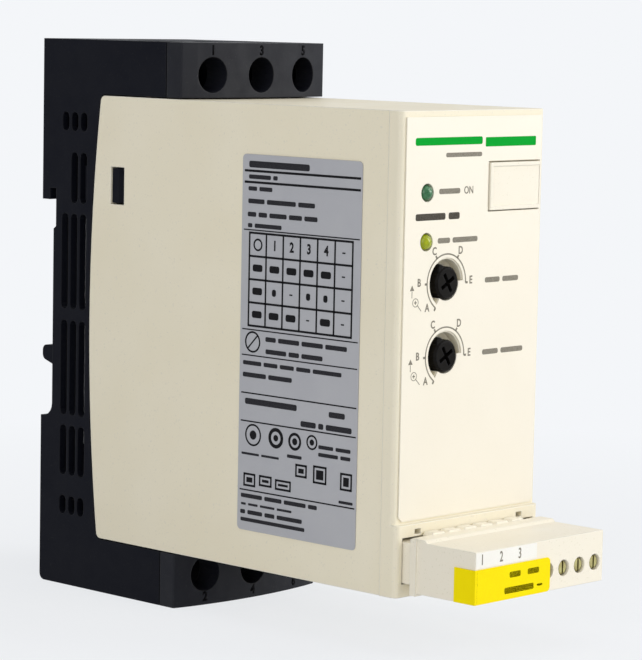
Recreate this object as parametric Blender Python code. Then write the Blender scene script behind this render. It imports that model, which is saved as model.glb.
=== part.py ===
# Motor soft starter for a 35 mm mounting rail, 45 mm wide, as an assembly of separate pieces.
# Sizes below are in millimetres; MM turns them into Blender's metres.
# Places are given as x (left to right seen from the front), d (depth, from the rear face to the
# front) and z (height above the base). The front looks along -Y, and y = 0 is the middle of the depth.

import math

import bmesh
import bpy
from mathutils import Vector

MM = 0.001

# Overall form
BODY_WIDTH = 44.4          # black and cream housings
LIP_STAND = 0.3            # the cream front frame stands out this far at each side
DEVICE_HEIGHT = 124.0
ARM_HEIGHT = 12.0          # top and bottom arms of the black housing
SPINE_DEPTH = 19.0         # black spine behind the cream housing, next to the arms
SPINE_BOW = 3.0            # its front edge curves back this far in the middle of the height
SPINE_BOW_STEPS = 16
ARM_DEPTH = 40.3           # black arms without their terminal covers
PANEL_DEPTH = 110.0        # rear face to the flat front panel
SEAM = 0.3                 # gap at each seam between two pieces
FIT = 0.3                  # running clearance round a moving piece
WALL = 1.8                 # moulded walls
CORNER_STEPS = 5           # facets in a quarter round

# Rail recess in the rear face
RAIL_SEAT_DEPTH = 3.8
RAIL_RELIEF_DEPTH = 4.6    # upper stretch of the recess, and the slot for the rail's flange
RAIL_HOOK_RISE = 25.7      # underside of the fixed hook above the middle of the height
RAIL_SLOT_DEPTH = 2.5      # thickness of the hook's lip behind the flange slot
RAIL_SLOT_RISE = 2.6
RAIL_RELIEF_RISE = 19.7
RAIL_RELIEF_SLOPE = 0.6
RAIL_RECESS_DROP = 23.8    # lower end of the recess below the middle of the height
RAIL_RECESS_ROUND = 3.0
NUB_TOP_DROP = 7.6         # top of the nubs under the rail, below the middle of the height
NUB_HEIGHT = 4.4
NUB_ROUND = 1.3
NUB_SLOPE = 0.9            # its underside falls by this towards the recess
NUB_INSET = 0.4            # from each side of the body
NUB_LENGTH = 3.0           # along the rail
REAR_WALL = 1.6
BASE_ROUND = 1.5
THROAT_ROUND = 1.6         # inner corners between spine and arms

# Vents in both side walls of the spine
VENT_WIDTH = 2.25
VENT_PITCH = 3.03
VENT_FRONT_COLUMN = 13.8   # depth of the front column's middle
VENT_ROWS = (              # from the middle of the height, length, columns below and above it
    (1.2, 21.8, 3, 3),
    (25.2, 11.6, 3, 2),
    (41.4, 4.4, 3, 3),
)
VENT_STEPS = 4

# Power terminals, three in each arm
POLE_COUNT = 3
POLE_MARGIN = 1.2          # body's side to the outer pole's share of its width
SCREW_AXIS_INSET = 7.0     # from the device's end to the screws' axes
POCKET_SIDE_WALL = 1.0     # half the wall between two pockets
POCKET_BACK_WALL = 1.5
POCKET_OUTER_WALL = 1.7    # between pocket and the device's end
POCKET_INNER_WALL = 1.2    # between pocket and the cream housing
COVER_EDGE_DEPTH = 4.5     # terminal cover, at its side edges
COVER_BOW = 2.3            # its face stands this much further out in the middle
COVER_BOW_STEPS = 12
COVER_CORNER = 0.5
COVER_CORNER_SWEEP = 80.0  # degrees of the round corner before the bow takes over
COVER_WALL = 1.5
COVER_TUBE_WALL = 1.2
ACCESS_RADIUS = 3.9        # holes for the screwdriver
ROUND_STEPS = 24
ENTRY_MARGIN = 1.4         # wire entries in the ends of the arms, narrower than their pockets

# Terminal screw, cage and contact bar
SCREW_HEAD_RADIUS = 3.4
SCREW_HEAD_HEIGHT = 2.2
SCREW_SHANK_RADIUS = 2.0
SCREW_HEAD_SINK = 1.3      # head's face behind the arm's front end
CROSS_WIDTH = 0.9
CROSS_LENGTH = 4.4
CROSS_DEPTH = 1.3
CAGE_MARGIN = 1.8          # cage to the pocket's side
CAGE_SIDE_WALL = 1.0
CAGE_BACK_WALL = 1.4
CAGE_NUT = 2.4
CAGE_HALF_HEIGHT = 3.5
CAGE_TRAVEL = 3.5
WIRE_SPACE = 4.6           # free depth for the wire between cage and contact bar
BAR_THICKNESS = 1.2
BAR_CLEARANCE = 1.0        # between bar and the open cage's nut wall
BAR_MARGIN = 0.4           # bar to the cage's inside
BAR_OUTER_INSET = 3.6      # from the device's end to the bar's outer tip
BAR_SOLDER_LENGTH = 8.0    # length of bar against the power board

# Sprung rail clip
CLIP_HALF_WIDTH = 7.5
CLIP_THICKNESS = 1.3
CLIP_RIB_HALF_WIDTH = 5.9
CLIP_RIB_THICKNESS = 1.4
CLIP_TOP_DROP = 7.6        # its top below the middle of the height
CLIP_NOSE_HEIGHT = 4.2
CLIP_NOSE_LIP = 1.3
CLIP_BASE_Z = 6.0
CLIP_TRAVEL = 3.0
CLIP_CHANNEL_DEPTH = 3.7
CLIP_CHANNEL_BASE_Z = 2.4
CLIP_WINDOW_HALF_WIDTH = 2.0
CLIP_WINDOW_BASE_Z = 12.5
CLIP_WINDOW_HEIGHT = 14.5
CLIP_SLOT_HEIGHT = 2.2
SPRING_POST_RISE = 1.3     # post above the window's lower edge
SPRING_POST_HEIGHT = 2.0
SPRING_RADIUS = 1.0
SPRING_WIRE_RADIUS = 0.25
SPRING_TURNS = 7
SPRING_STEPS = 12
SPRING_WIRE_SIDES = 6

# Cream housing
FRAME_DEPTH = 3.5          # length of the wider front frame
PANEL_WALL = 2.0
PANEL_CORNER = 1.2
SOCKET_STAND = 1.0         # the socket zone stands in front of the panel
SOCKET_ZONE_TOP_Z = 27.2
SNAP_DEPTH = 22.9          # snap windows in both sides
SNAP_LENGTH = 4.4
SNAP_INSET = 36.2          # lower edge below the device's top
SNAP_HEIGHT = 8.3
SNAP_TONGUE = 1.5
SNAP_ROOT_LENGTH = 3.4
BOSS_RADIUS = 2.0

# Front film, indicators, dials and marker plate
FILM_LIFT = 0.05
FILM_THICKNESS = 0.25
FILM_MARGIN = 1.3
FILM_BASE_RISE = 0.6       # film's lower edge above the socket zone
FILM_NOTCH = 1.0
LED_MARGIN = 7.55          # from the body's left side
LED_INSETS = (29.0, 39.05)  # below the device's top
LED_RADIUS = 1.6
LED_FLANGE_RADIUS = 2.1
LED_FLANGE_HEIGHT = 1.0
LED_STAND = 1.2            # dome top in front of the panel
DIAL_MARGIN = 14.0
DIAL_INSETS = (47.7, 62.8)
WELL_RADIUS = 4.9
WELL_WALL = 1.1
WELL_DEPTH = 2.2           # below the panel
WELL_START = 3.0           # the well runs between these angles, in degrees from the right
WELL_END = 237.0
WELL_STEPS = 24
KNOB_RADIUS = 3.4
KNOB_STAND = 0.7           # knob face in front of the panel
KNOB_POINTER_RADIUS = 0.8
KNOB_POINTER_ANGLE = 120.0
KNOB_EDGE = 0.4
POT_HALF_SIZE = 4.2
POT_HEIGHT = 3.4
MARKER_MARGIN = 1.7        # from the body's right side
MARKER_WIDTH = 15.9
MARKER_INSET = 33.2        # lower edge below the device's top
MARKER_HEIGHT = 9.9
MARKER_RECESS = 1.0
MARKER_STAND = 0.7
MARKER_RIM = 0.8
MARKER_RIM_HEIGHT = 0.3

# Boards and power parts
BOARD_THICKNESS = 1.6
BOARD_RIB = 1.2            # ribs that hold the power board
BOARD_RIB_WIDTH = 1.6
BOARD_MARGIN = 1.5         # board edges to the cream housing's top and bottom walls
FRONT_BOARD_DEPTH = 99.7
CONTROL_BOARD_MARGIN = 3.8  # its inner face to the cavity's side
CONTROL_BOARD_BASE_Z = 32.0
CONTROL_BOARD_TOP_INSET = 26.0
SINK_MARGIN = 3.4          # to the cavity's side
SINK_INSET = 32.0          # both ends, from the device's ends
SINK_PLATE = 3.0
SINK_FIN_COUNT = 8
SINK_FIN_WIDTH = 1.4
MODULE_MARGIN = 3.0        # to the heat sink's side
MODULE_END_MARGIN = 4.0    # to the heat sink's end
MODULE_GAP = 4.0
MODULE_STEP = 2.6          # mounting ears of the thyristor modules
MODULE_EAR = 3.5
RELAY_SIZE = (13.0, 15.5, 28.0)
RELAY_MARGIN = 5.6         # its middle to the mirror image of the control board
TRANSFORMER_MARGIN = 3.6   # to the control board
TRANSFORMER_DEPTH = 22.0
TRANSFORMER_HEIGHT = 24.0
TRANSFORMER_DROP = 28.0    # its lower end below the middle of the height
RELAY_GAP = 8.0            # transformer to relay
TRANSFORMER_COIL_STAND = 3.0

# Control socket and its pull-out plug
PLUG_POLES = 8
PLUG_END_SPARE = 0.08      # plug's side to the outer pole's share of its width
SOCKET_SIDE_WALL = 1.5
SOCKET_BASE_Z = 15.0
SOCKET_TOP_Z = 24.6
SOCKET_WALL = 1.2
KEYHOLE_MARGIN = 4.65      # keyholes above the socket's two ends
KEYHOLE_WIDTH = 1.9
KEYHOLE_HEIGHT = 1.1
KEYHOLE_RISE = 0.4
KEYHOLE_DEPTH = 5.0
HEADER_THICKNESS = 2.8
PIN_HALF = 0.5
PIN_Z = 19.8
PIN_LENGTH = 7.0
PLUG_STAND = 19.5          # plug's front face in front of the socket
PLUG_BASE_Z = 13.65
PLUG_TOP_Z = 24.35
PLUG_GAP_TO_SOCKET = 2.4   # the plug's rim stands this far in front of the socket
PLUG_SLEEVE_TAIL = 0.4     # sleeve end to the header
PLUG_RIM = 1.5
PLUG_RIM_STAND = 0.5
PLUG_LEDGE = 2.6
PLUG_LEDGE_RISE = 0.6
PLUG_TAB_COUNT = 6
PLUG_TAB_GAP = 0.83
PLUG_TAB_HEIGHT = 0.5
PLUG_TAB_ROOT_RISE = 1.0   # in front of the socket they stand this far above the plug's top
PLUG_SCREW_Z = 17.85
PLUG_WEB = 1.58            # plastic between two neighbouring holes
PLUG_HEAD_HEIGHT = 2.0
PLUG_HEAD_SET_BACK = 0.3
PLUG_SHANK_MARGIN = 0.55   # screw shank to the cage's outside
PLUG_SLOT_WIDTH = 0.5
PLUG_SLOT_DEPTH = 0.7
PLUG_CAGE_SIDE_WALL = 0.5
PLUG_CAGE_BACK_WALL = 0.8
PLUG_CAGE_NUT = 1.8
PLUG_CAGE_HALF_HEIGHT = 2.3
PLUG_CAGE_TRAVEL = 2.4
PLUG_WIRE_SPACE = 3.0
PLUG_CONTACT_THICKNESS = 0.7
PLUG_ROUND_STEPS = 16

# Stuck-on labels
LABEL_LIFT = 0.05
LABEL_THICKNESS = 0.15
RATING_LABEL_START = 64.7  # depth of its rear edge
RATING_LABEL_LENGTH = 34.7
RATING_LABEL_BASE_Z = 20.6
RATING_LABEL_HEIGHT = 80.4
RATING_LABEL_ROUND = 1.0
PLUG_LABEL_WIDTH = 23.4    # across the plug's front, from its left side
PLUG_LABEL_WRAP = 5.4      # round onto the plug's left side
PLUG_LABEL_HEIGHT = 7.1
PLUG_LABEL_ROUND = 1.0     # its two corners on the front

# Levels and edges worked out from the sizes above
HALF_BODY = BODY_WIDTH / 2
HALF_FRAME = HALF_BODY + LIP_STAND
HALF_CAVITY = HALF_BODY - WALL
SOCKET_FRONT = PANEL_DEPTH + SOCKET_STAND
PLUG_FRONT_DEPTH = SOCKET_FRONT + PLUG_STAND
TOTAL_DEPTH = PLUG_FRONT_DEPTH + LABEL_LIFT + LABEL_THICKNESS
REAR_Y = TOTAL_DEPTH / 2
MIDDLE_Z = DEVICE_HEIGHT / 2
RAIL_HOOK_Z = MIDDLE_Z + RAIL_HOOK_RISE
RAIL_RELIEF_Z = MIDDLE_Z + RAIL_RELIEF_RISE
RAIL_RECESS_Z = MIDDLE_Z - RAIL_RECESS_DROP
CLIP_TOP_Z = MIDDLE_Z - CLIP_TOP_DROP
NUB_TOP_Z = MIDDLE_Z - NUB_TOP_DROP
SNAP_Z = DEVICE_HEIGHT - SNAP_INSET
LED_X = -HALF_BODY + LED_MARGIN
LED_ZS = tuple(DEVICE_HEIGHT - inset for inset in LED_INSETS)
DIAL_X = -HALF_BODY + DIAL_MARGIN
DIAL_ZS = tuple(DEVICE_HEIGHT - inset for inset in DIAL_INSETS)
MARKER_RIGHT_X = HALF_BODY - MARKER_MARGIN
MARKER_LEFT_X = MARKER_RIGHT_X - MARKER_WIDTH
MARKER_BASE_Z = DEVICE_HEIGHT - MARKER_INSET
POLE_PITCH = 2 * (HALF_BODY - POLE_MARGIN) / POLE_COUNT
POCKET_HALF_WIDTH = POLE_PITCH / 2 - POCKET_SIDE_WALL
ENTRY_HALF_WIDTH = POCKET_HALF_WIDTH - ENTRY_MARGIN
CAGE_HALF_WIDTH = POCKET_HALF_WIDTH - CAGE_MARGIN
BAR_HALF_WIDTH = CAGE_HALF_WIDTH - CAGE_SIDE_WALL - BAR_MARGIN
CONTROL_BOARD_X = HALF_CAVITY - CONTROL_BOARD_MARGIN
CONTROL_BOARD_TOP_Z = DEVICE_HEIGHT - CONTROL_BOARD_TOP_INSET
SINK_HALF_WIDTH = HALF_CAVITY - SINK_MARGIN
SINK_HEIGHT = DEVICE_HEIGHT - 2 * SINK_INSET
MODULE_HALF_WIDTH = SINK_HALF_WIDTH - MODULE_MARGIN
MODULE_HEIGHT = (SINK_HEIGHT - MODULE_GAP) / 2 - MODULE_END_MARGIN
TRANSFORMER_WIDTH = 2 * (CONTROL_BOARD_X - TRANSFORMER_MARGIN)
TRANSFORMER_BASE_Z = MIDDLE_Z - TRANSFORMER_DROP
TRANSFORMER_TOP_Z = TRANSFORMER_BASE_Z + TRANSFORMER_HEIGHT
RELAY_X = -CONTROL_BOARD_X + RELAY_MARGIN
RELAY_BASE_Z = TRANSFORMER_TOP_Z + RELAY_GAP
SOCKET_HALF_WIDTH = HALF_BODY - SOCKET_SIDE_WALL
KEYHOLE_X = SOCKET_HALF_WIDTH - KEYHOLE_MARGIN
PLUG_HALF_WIDTH = SOCKET_HALF_WIDTH - FIT
PLUG_PITCH = 2 * (PLUG_HALF_WIDTH - PLUG_END_SPARE) / PLUG_POLES
PLUG_HOLE_RADIUS = (PLUG_PITCH - PLUG_WEB) / 2
PLUG_HEAD_RADIUS = PLUG_HOLE_RADIUS - FIT
PLUG_CAGE_HALF_WIDTH = PLUG_HOLE_RADIUS
PLUG_SHANK_RADIUS = PLUG_CAGE_HALF_WIDTH - PLUG_SHANK_MARGIN
PLUG_CONTACT_HALF_WIDTH = PLUG_CAGE_HALF_WIDTH - PLUG_CAGE_SIDE_WALL - FIT
PLUG_TAB_PITCH = 2 * (KEYHOLE_X - KEYHOLE_WIDTH / 2) / PLUG_TAB_COUNT
PLUG_TAB_WIDTH = PLUG_TAB_PITCH - PLUG_TAB_GAP
SPINE_CAVITY_DEPTH = RAIL_RELIEF_DEPTH + REAR_WALL
COVER_BACK = ARM_DEPTH + SEAM
COVER_EDGE = COVER_BACK + COVER_EDGE_DEPTH
CREAM_BASE_Z = ARM_HEIGHT + SEAM
CREAM_TOP_Z = DEVICE_HEIGHT - ARM_HEIGHT - SEAM
CREAM_REAR = SPINE_DEPTH + SEAM
POLE_XS = tuple((i - (POLE_COUNT - 1) / 2) * POLE_PITCH for i in range(POLE_COUNT))
PLUG_POLE_XS = tuple((i - (PLUG_POLES - 1) / 2) * PLUG_PITCH for i in range(PLUG_POLES))
SCREW_HEAD_START = ARM_DEPTH - SCREW_HEAD_SINK - SCREW_HEAD_HEIGHT
CAGE_NUT_FRONT = SCREW_HEAD_START - FIT - CAGE_TRAVEL
CAGE_NUT_BACK = CAGE_NUT_FRONT - CAGE_NUT
BAR_FRONT = CAGE_NUT_BACK - BAR_CLEARANCE
BAR_BACK = BAR_FRONT - BAR_THICKNESS
CAGE_INNER_BACK = BAR_BACK - WIRE_SPACE
CAGE_OUTER_BACK = CAGE_INNER_BACK - CAGE_BACK_WALL
POCKET_BACK = CAGE_OUTER_BACK - FIT
POWER_BOARD_DEPTH = BAR_FRONT + SEAM
POWER_BOARD_FRONT = POWER_BOARD_DEPTH + BOARD_THICKNESS
BOARD_BASE_Z = CREAM_BASE_Z + WALL + BOARD_MARGIN
BOARD_TOP_Z = CREAM_TOP_Z - WALL - BOARD_MARGIN
FRONT_BOARD_FRONT = FRONT_BOARD_DEPTH + BOARD_THICKNESS
PART_SEAT = FRONT_BOARD_FRONT + SEAM
PANEL_INSIDE = PANEL_DEPTH - PANEL_WALL
PLUG_RIM_BACK = SOCKET_FRONT + PLUG_GAP_TO_SOCKET
HEADER_FRONT = PART_SEAT + HEADER_THICKNESS
SLEEVE_BACK = HEADER_FRONT + PLUG_SLEEVE_TAIL
POT_FRONT = PART_SEAT + POT_HEIGHT
WELL_FLOOR_DEPTH = PANEL_DEPTH - WELL_DEPTH
PLUG_HEAD_FRONT = PLUG_FRONT_DEPTH - PLUG_HEAD_SET_BACK
PLUG_HEAD_BACK = PLUG_HEAD_FRONT - PLUG_HEAD_HEIGHT
PLUG_CHAMBER_FRONT = PLUG_HEAD_BACK - FIT
PLUG_NUT_FRONT = PLUG_CHAMBER_FRONT - FIT - PLUG_CAGE_TRAVEL
PLUG_NUT_BACK = PLUG_NUT_FRONT - PLUG_CAGE_NUT
PLUG_CONTACT_FRONT = PLUG_NUT_BACK - FIT
PLUG_CONTACT_BACK = PLUG_CONTACT_FRONT - PLUG_CONTACT_THICKNESS
PLUG_CAGE_INNER_BACK = PLUG_CONTACT_BACK - PLUG_WIRE_SPACE
PLUG_CAGE_OUTER_BACK = PLUG_CAGE_INNER_BACK - PLUG_CAGE_BACK_WALL
FILM_BACK = PANEL_DEPTH + FILM_LIFT
FILM_FRONT = FILM_BACK + FILM_THICKNESS


# Outlines, each a list of points in the plane that is then extruded

def arc(cx, cy, radius, start, end, steps):
    """Points on an arc, angles in degrees."""
    angles = [math.radians(start + (end - start) * i / steps) for i in range(steps + 1)]
    return [(cx + radius * math.cos(a), cy + radius * math.sin(a)) for a in angles]


def rectangle(a0, a1, b0, b1):
    return [(a0, b0), (a1, b0), (a1, b1), (a0, b1)]


def rounded(a0, a1, b0, b1, radius, steps=CORNER_STEPS):
    """Rectangle with four round corners."""
    points = arc(a1 - radius, b0 + radius, radius, -90, 0, steps)
    points += arc(a1 - radius, b1 - radius, radius, 0, 90, steps)
    points += arc(a0 + radius, b1 - radius, radius, 90, 180, steps)
    points += arc(a0 + radius, b0 + radius, radius, 180, 270, steps)
    return points


def circle(cx, cy, radius, steps=ROUND_STEPS):
    return arc(cx, cy, radius, 0, 360, steps)[:-1]


def slot(cx, b0, b1, width, steps=VENT_STEPS):
    """Upright slot with round ends."""
    radius = width / 2
    return (arc(cx, b1 - radius, radius, 0, 180, steps)
            + arc(cx, b0 + radius, radius, 180, 360, steps))


# Solids, as bmeshes in metres

def point(axis, along, a, b):
    """World place of outline point (a, b), at 'along' on the extrusion axis."""
    x, d, z = {"x": (along, a, b), "d": (a, along, b), "z": (a, b, along)}[axis]
    return Vector((x * MM, (REAR_Y - d) * MM, z * MM))


def extrusion(outline, axis, start, end):
    """Outline extruded along x (outline in d, z), d (in x, z) or z (in x, d)."""
    bm = bmesh.new()
    face = bm.faces.new([bm.verts.new(point(axis, start, a, b)) for a, b in outline])
    grown = bmesh.ops.extrude_face_region(bm, geom=[face])
    moved = [item for item in grown["geom"] if isinstance(item, bmesh.types.BMVert)]
    offset = point(axis, end, 0, 0) - point(axis, start, 0, 0)
    bmesh.ops.translate(bm, verts=moved, vec=offset)
    bmesh.ops.recalc_face_normals(bm, faces=bm.faces)
    return bm


def block(x0, x1, d0, d1, z0, z1):
    return extrusion(rectangle(x0, x1, z0, z1), "d", d0, d1)


def rod(x, z, radius, d0, d1, steps=ROUND_STEPS):
    """Round bar along the depth."""
    return extrusion(circle(x, z, radius, steps), "d", d0, d1)


def turned(x, z, profile, steps=ROUND_STEPS):
    """Solid of revolution about an axis along the depth; profile is (radius, d) pairs."""
    bm = bmesh.new()
    rings = []
    for radius, d in profile:
        if radius == 0:
            rings.append([bm.verts.new(point("d", d, x, z))])
        else:
            rings.append([bm.verts.new(point("d", d, a, b)) for a, b in circle(x, z, radius, steps)])
    for ring, following in zip(rings, rings[1:]):
        for i in range(steps):
            j = (i + 1) % steps
            if len(ring) == 1:
                bm.faces.new((ring[0], following[i], following[j]))
            elif len(following) == 1:
                bm.faces.new((ring[i], ring[j], following[0]))
            else:
                bm.faces.new((ring[i], ring[j], following[j], following[i]))
    for ring in (rings[0], rings[-1]):
        if len(ring) > 1:
            bm.faces.new(ring)
    bmesh.ops.recalc_face_normals(bm, faces=bm.faces)
    return bm


def joined(solids):
    """Several separate solids in one bmesh."""
    whole = bmesh.new()
    for bm in solids:
        mesh = bpy.data.meshes.new("solid")
        bm.to_mesh(mesh)
        bm.free()
        whole.from_mesh(mesh)
        bpy.data.meshes.remove(mesh)
    return whole


# Materials and objects

def make_material(name, color, roughness, metallic=0.0):
    material = bpy.data.materials.new(name)
    material.use_nodes = True
    shader = material.node_tree.nodes["Principled BSDF"]
    shader.inputs["Base Color"].default_value = (*color, 1.0)
    shader.inputs["Roughness"].default_value = roughness
    shader.inputs["Metallic"].default_value = metallic
    material.diffuse_color = (*color, 1.0)
    return material


def make_piece(name, bm, material, origin=(0.0, REAR_Y, 0.0), parent=None, smooth=False):
    """Link a bmesh as one object; origin is its pivot as (x, d, z)."""
    pivot = point("d", origin[1], origin[0], origin[2])
    bmesh.ops.translate(bm, verts=bm.verts, vec=-pivot)
    mesh = bpy.data.meshes.new(name)
    bm.to_mesh(mesh)
    bm.free()
    mesh.materials.append(material)
    if smooth:
        mesh.shade_smooth()
        mesh.set_sharp_from_angle(angle=math.radians(35))
    piece = bpy.data.objects.new(name, mesh)
    bpy.context.scene.collection.objects.link(piece)
    piece.location = pivot
    if parent is not None:
        piece.parent = parent
        piece.location = pivot - parent.location
    return piece


def add_boolean(piece, name, bm, operation):
    """Cut a tool solid from a piece, or join it on."""
    mesh = bpy.data.meshes.new(name)
    bm.to_mesh(mesh)
    bm.free()
    tool = bpy.data.objects.new(name, mesh)
    bpy.context.scene.collection.objects.link(tool)
    tool.hide_render = True
    tool.display_type = "WIRE"
    modifier = piece.modifiers.new(name, "BOOLEAN")
    modifier.operation = operation
    modifier.solver = "EXACT"
    modifier.object = tool


def cut(piece, name, solids):
    add_boolean(piece, piece.name + "_" + name, joined(solids), "DIFFERENCE")


def fuse(piece, name, solids):
    add_boolean(piece, piece.name + "_" + name, joined(solids), "UNION")


# The two arms are alike: inset is measured from the device's end towards its middle.

def inset_z(side, inset):
    return DEVICE_HEIGHT - inset if side == "line" else inset


def arm_block(side, x0, x1, d0, d1, inset0, inset1):
    z0, z1 = sorted((inset_z(side, inset0), inset_z(side, inset1)))
    return block(x0, x1, d0, d1, z0, z1)


# Black rear housing

def seam_shift(z):
    """How far the bowed seam between spine and cream housing lies behind its own ends."""
    half = MIDDLE_Z - ARM_HEIGHT - THROAT_ROUND
    return SPINE_BOW * (1 - ((z - MIDDLE_Z) / half) ** 2)


def bowed_seam(depth):
    """Points of the bowed seam from the lower to the upper arm, without its ends, as (d, z)."""
    half = MIDDLE_Z - ARM_HEIGHT - THROAT_ROUND
    heights = [MIDDLE_Z - half + 2 * half * i / SPINE_BOW_STEPS for i in range(1, SPINE_BOW_STEPS)]
    return [(depth - seam_shift(z), z) for z in heights]


def rear_outline():
    """Side view of the C-shaped housing with its rail recess, as (d, z)."""
    top = DEVICE_HEIGHT
    high_arm = top - ARM_HEIGHT
    points = [(ARM_DEPTH, 0), (ARM_DEPTH, ARM_HEIGHT)]
    points += arc(SPINE_DEPTH + THROAT_ROUND, ARM_HEIGHT + THROAT_ROUND,
                  THROAT_ROUND, 270, 180, CORNER_STEPS)
    points += bowed_seam(SPINE_DEPTH)
    points += arc(SPINE_DEPTH + THROAT_ROUND, high_arm - THROAT_ROUND,
                  THROAT_ROUND, 180, 90, CORNER_STEPS)
    points += [(ARM_DEPTH, high_arm), (ARM_DEPTH, top), (0, top)]
    points += [(0, RAIL_HOOK_Z), (RAIL_SLOT_DEPTH, RAIL_HOOK_Z)]
    points += [(RAIL_SLOT_DEPTH, RAIL_HOOK_Z + RAIL_SLOT_RISE)]
    points += [(RAIL_RELIEF_DEPTH, RAIL_HOOK_Z + RAIL_SLOT_RISE)]
    points += [(RAIL_RELIEF_DEPTH, RAIL_RELIEF_Z)]
    points += [(RAIL_SEAT_DEPTH, RAIL_RELIEF_Z - RAIL_RELIEF_SLOPE)]
    points += arc(RAIL_SEAT_DEPTH - RAIL_RECESS_ROUND, RAIL_RECESS_Z + RAIL_RECESS_ROUND,
                  RAIL_RECESS_ROUND, 0, -90, CORNER_STEPS)
    points += [(0, RAIL_RECESS_Z)]
    points += arc(BASE_ROUND, BASE_ROUND, BASE_ROUND, 180, 270, CORNER_STEPS)
    return points


def vent_cutters():
    rows = []
    for start, length, columns_below, columns_above in VENT_ROWS:
        rows.append((MIDDLE_Z - start - length, length, columns_below))
        rows.append((MIDDLE_Z + start, length, columns_above))
    cutters = []
    for base, length, columns in rows:
        for column in range(columns):
            depth = VENT_FRONT_COLUMN - column * VENT_PITCH
            outline = slot(depth, base, base + length, VENT_WIDTH)
            cutters.append(extrusion(outline, "x", -HALF_FRAME, HALF_FRAME))
    return cutters


def terminal_cutters(side):
    """Pockets for the cages, open to the front, with wire entries and slots for the bars."""
    pockets = []
    entries = []
    slots = []
    for x in POLE_XS:
        pockets.append(arm_block(side, x - POCKET_HALF_WIDTH, x + POCKET_HALF_WIDTH,
                                 POCKET_BACK, COVER_EDGE,
                                 POCKET_OUTER_WALL, ARM_HEIGHT - POCKET_INNER_WALL))
        entries.append(arm_block(side, x - ENTRY_HALF_WIDTH, x + ENTRY_HALF_WIDTH,
                                 CAGE_INNER_BACK, CAGE_NUT_FRONT + FIT,
                                 -WALL, POCKET_OUTER_WALL + WALL))
        slots.append(bar_slot(side, x, ARM_HEIGHT - POCKET_INNER_WALL - WALL, ARM_HEIGHT + WALL))
    return pockets, entries, slots


def bar_slot(side, x, inset0, inset1):
    return arm_block(side, x - BAR_HALF_WIDTH - FIT, x + BAR_HALF_WIDTH + FIT,
                     BAR_BACK - FIT, BAR_FRONT + FIT, inset0, inset1)


def clip_channel_cutters():
    """Undercut channel for the rail clip, open to the rear."""
    back = -WALL
    top_z = RAIL_RECESS_Z + RAIL_RECESS_ROUND
    lip_depth = CLIP_CHANNEL_DEPTH - CLIP_THICKNESS - 2 * FIT   # front of the retaining lips
    mouth = block(-CLIP_RIB_HALF_WIDTH - FIT, CLIP_RIB_HALF_WIDTH + FIT, back, CLIP_CHANNEL_DEPTH,
                  CLIP_CHANNEL_BASE_Z, top_z)
    under = block(-CLIP_HALF_WIDTH - FIT, CLIP_HALF_WIDTH + FIT, lip_depth, CLIP_CHANNEL_DEPTH,
                  CLIP_CHANNEL_BASE_Z, top_z)
    return mouth, under


def snap_tongues():
    """Two tongues inside the cream housing, with hooks that reach into its snap windows."""
    tongues = []
    outer = HALF_CAVITY - FIT
    inner = outer - SNAP_TONGUE
    z0 = SNAP_Z + FIT
    z1 = SNAP_Z + SNAP_HEIGHT - FIT
    tip = SNAP_DEPTH + SNAP_LENGTH - FIT
    root = SPINE_DEPTH - seam_shift(SNAP_Z)
    for sign in (-1, 1):
        outline = [(root - SNAP_ROOT_LENGTH, inner),
                   (tip, inner),
                   (tip, outer),
                   (SNAP_DEPTH + SNAP_LENGTH / 2, HALF_BODY - FIT),
                   (SNAP_DEPTH + FIT, HALF_BODY - FIT),
                   (SNAP_DEPTH + FIT, outer),
                   (root, outer),
                   (root, HALF_BODY - WALL / 2),
                   (root - SNAP_ROOT_LENGTH, HALF_BODY - WALL / 2)]
        flipped = [(sign * x, d) for d, x in outline]
        tongues.append(extrusion(flipped, "z", z0, z1))
    return tongues


def rail_nubs():
    """Round-nosed nubs under the rail's lower edge, one at each side of the body."""
    base = NUB_TOP_Z - NUB_HEIGHT
    outline = [(RAIL_SEAT_DEPTH + REAR_WALL, base), (RAIL_SEAT_DEPTH + REAR_WALL, NUB_TOP_Z)]
    outline += arc(NUB_ROUND, NUB_TOP_Z - NUB_ROUND, NUB_ROUND, 90, 180, CORNER_STEPS)
    outline += arc(NUB_ROUND, base + NUB_SLOPE + NUB_ROUND, NUB_ROUND, 180, 250, CORNER_STEPS)
    outline.append((RAIL_SEAT_DEPTH, base))
    outer = HALF_BODY - NUB_INSET
    return [extrusion(outline, "x", x0, x0 + NUB_LENGTH) for x0 in (-outer, outer - NUB_LENGTH)]


def build_rear_housing(black):
    housing = make_piece("rear_housing", extrusion(rear_outline(), "x", -HALF_BODY, HALF_BODY), black)
    cut(housing, "vents", vent_cutters())
    cut(housing, "spine_cavity", [block(-HALF_CAVITY, HALF_CAVITY,
                                        SPINE_CAVITY_DEPTH, POCKET_BACK - POCKET_BACK_WALL,
                                        WALL, DEVICE_HEIGHT - WALL)])
    fuse(housing, "rail_nubs", rail_nubs())
    for side in ("line", "load"):
        pockets, entries, slots = terminal_cutters(side)
        cut(housing, side + "_pockets", pockets)
        cut(housing, side + "_wire_entries", entries)
        cut(housing, side + "_bar_slots", slots)
    mouth, under = clip_channel_cutters()
    cut(housing, "clip_mouth", [mouth])
    cut(housing, "clip_undercut", [under])
    fuse(housing, "spring_post", [block(-CLIP_WINDOW_HALF_WIDTH + FIT, CLIP_WINDOW_HALF_WIDTH - FIT,
                                        CLIP_CHANNEL_DEPTH - CLIP_THICKNESS - CLIP_RIB_THICKNESS,
                                        CLIP_CHANNEL_DEPTH + FIT,
                                        spring_post_base(), spring_base() - SEAM)])
    fuse(housing, "snap_tongues", snap_tongues())
    return housing


# Terminal covers with their bowed faces

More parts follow.
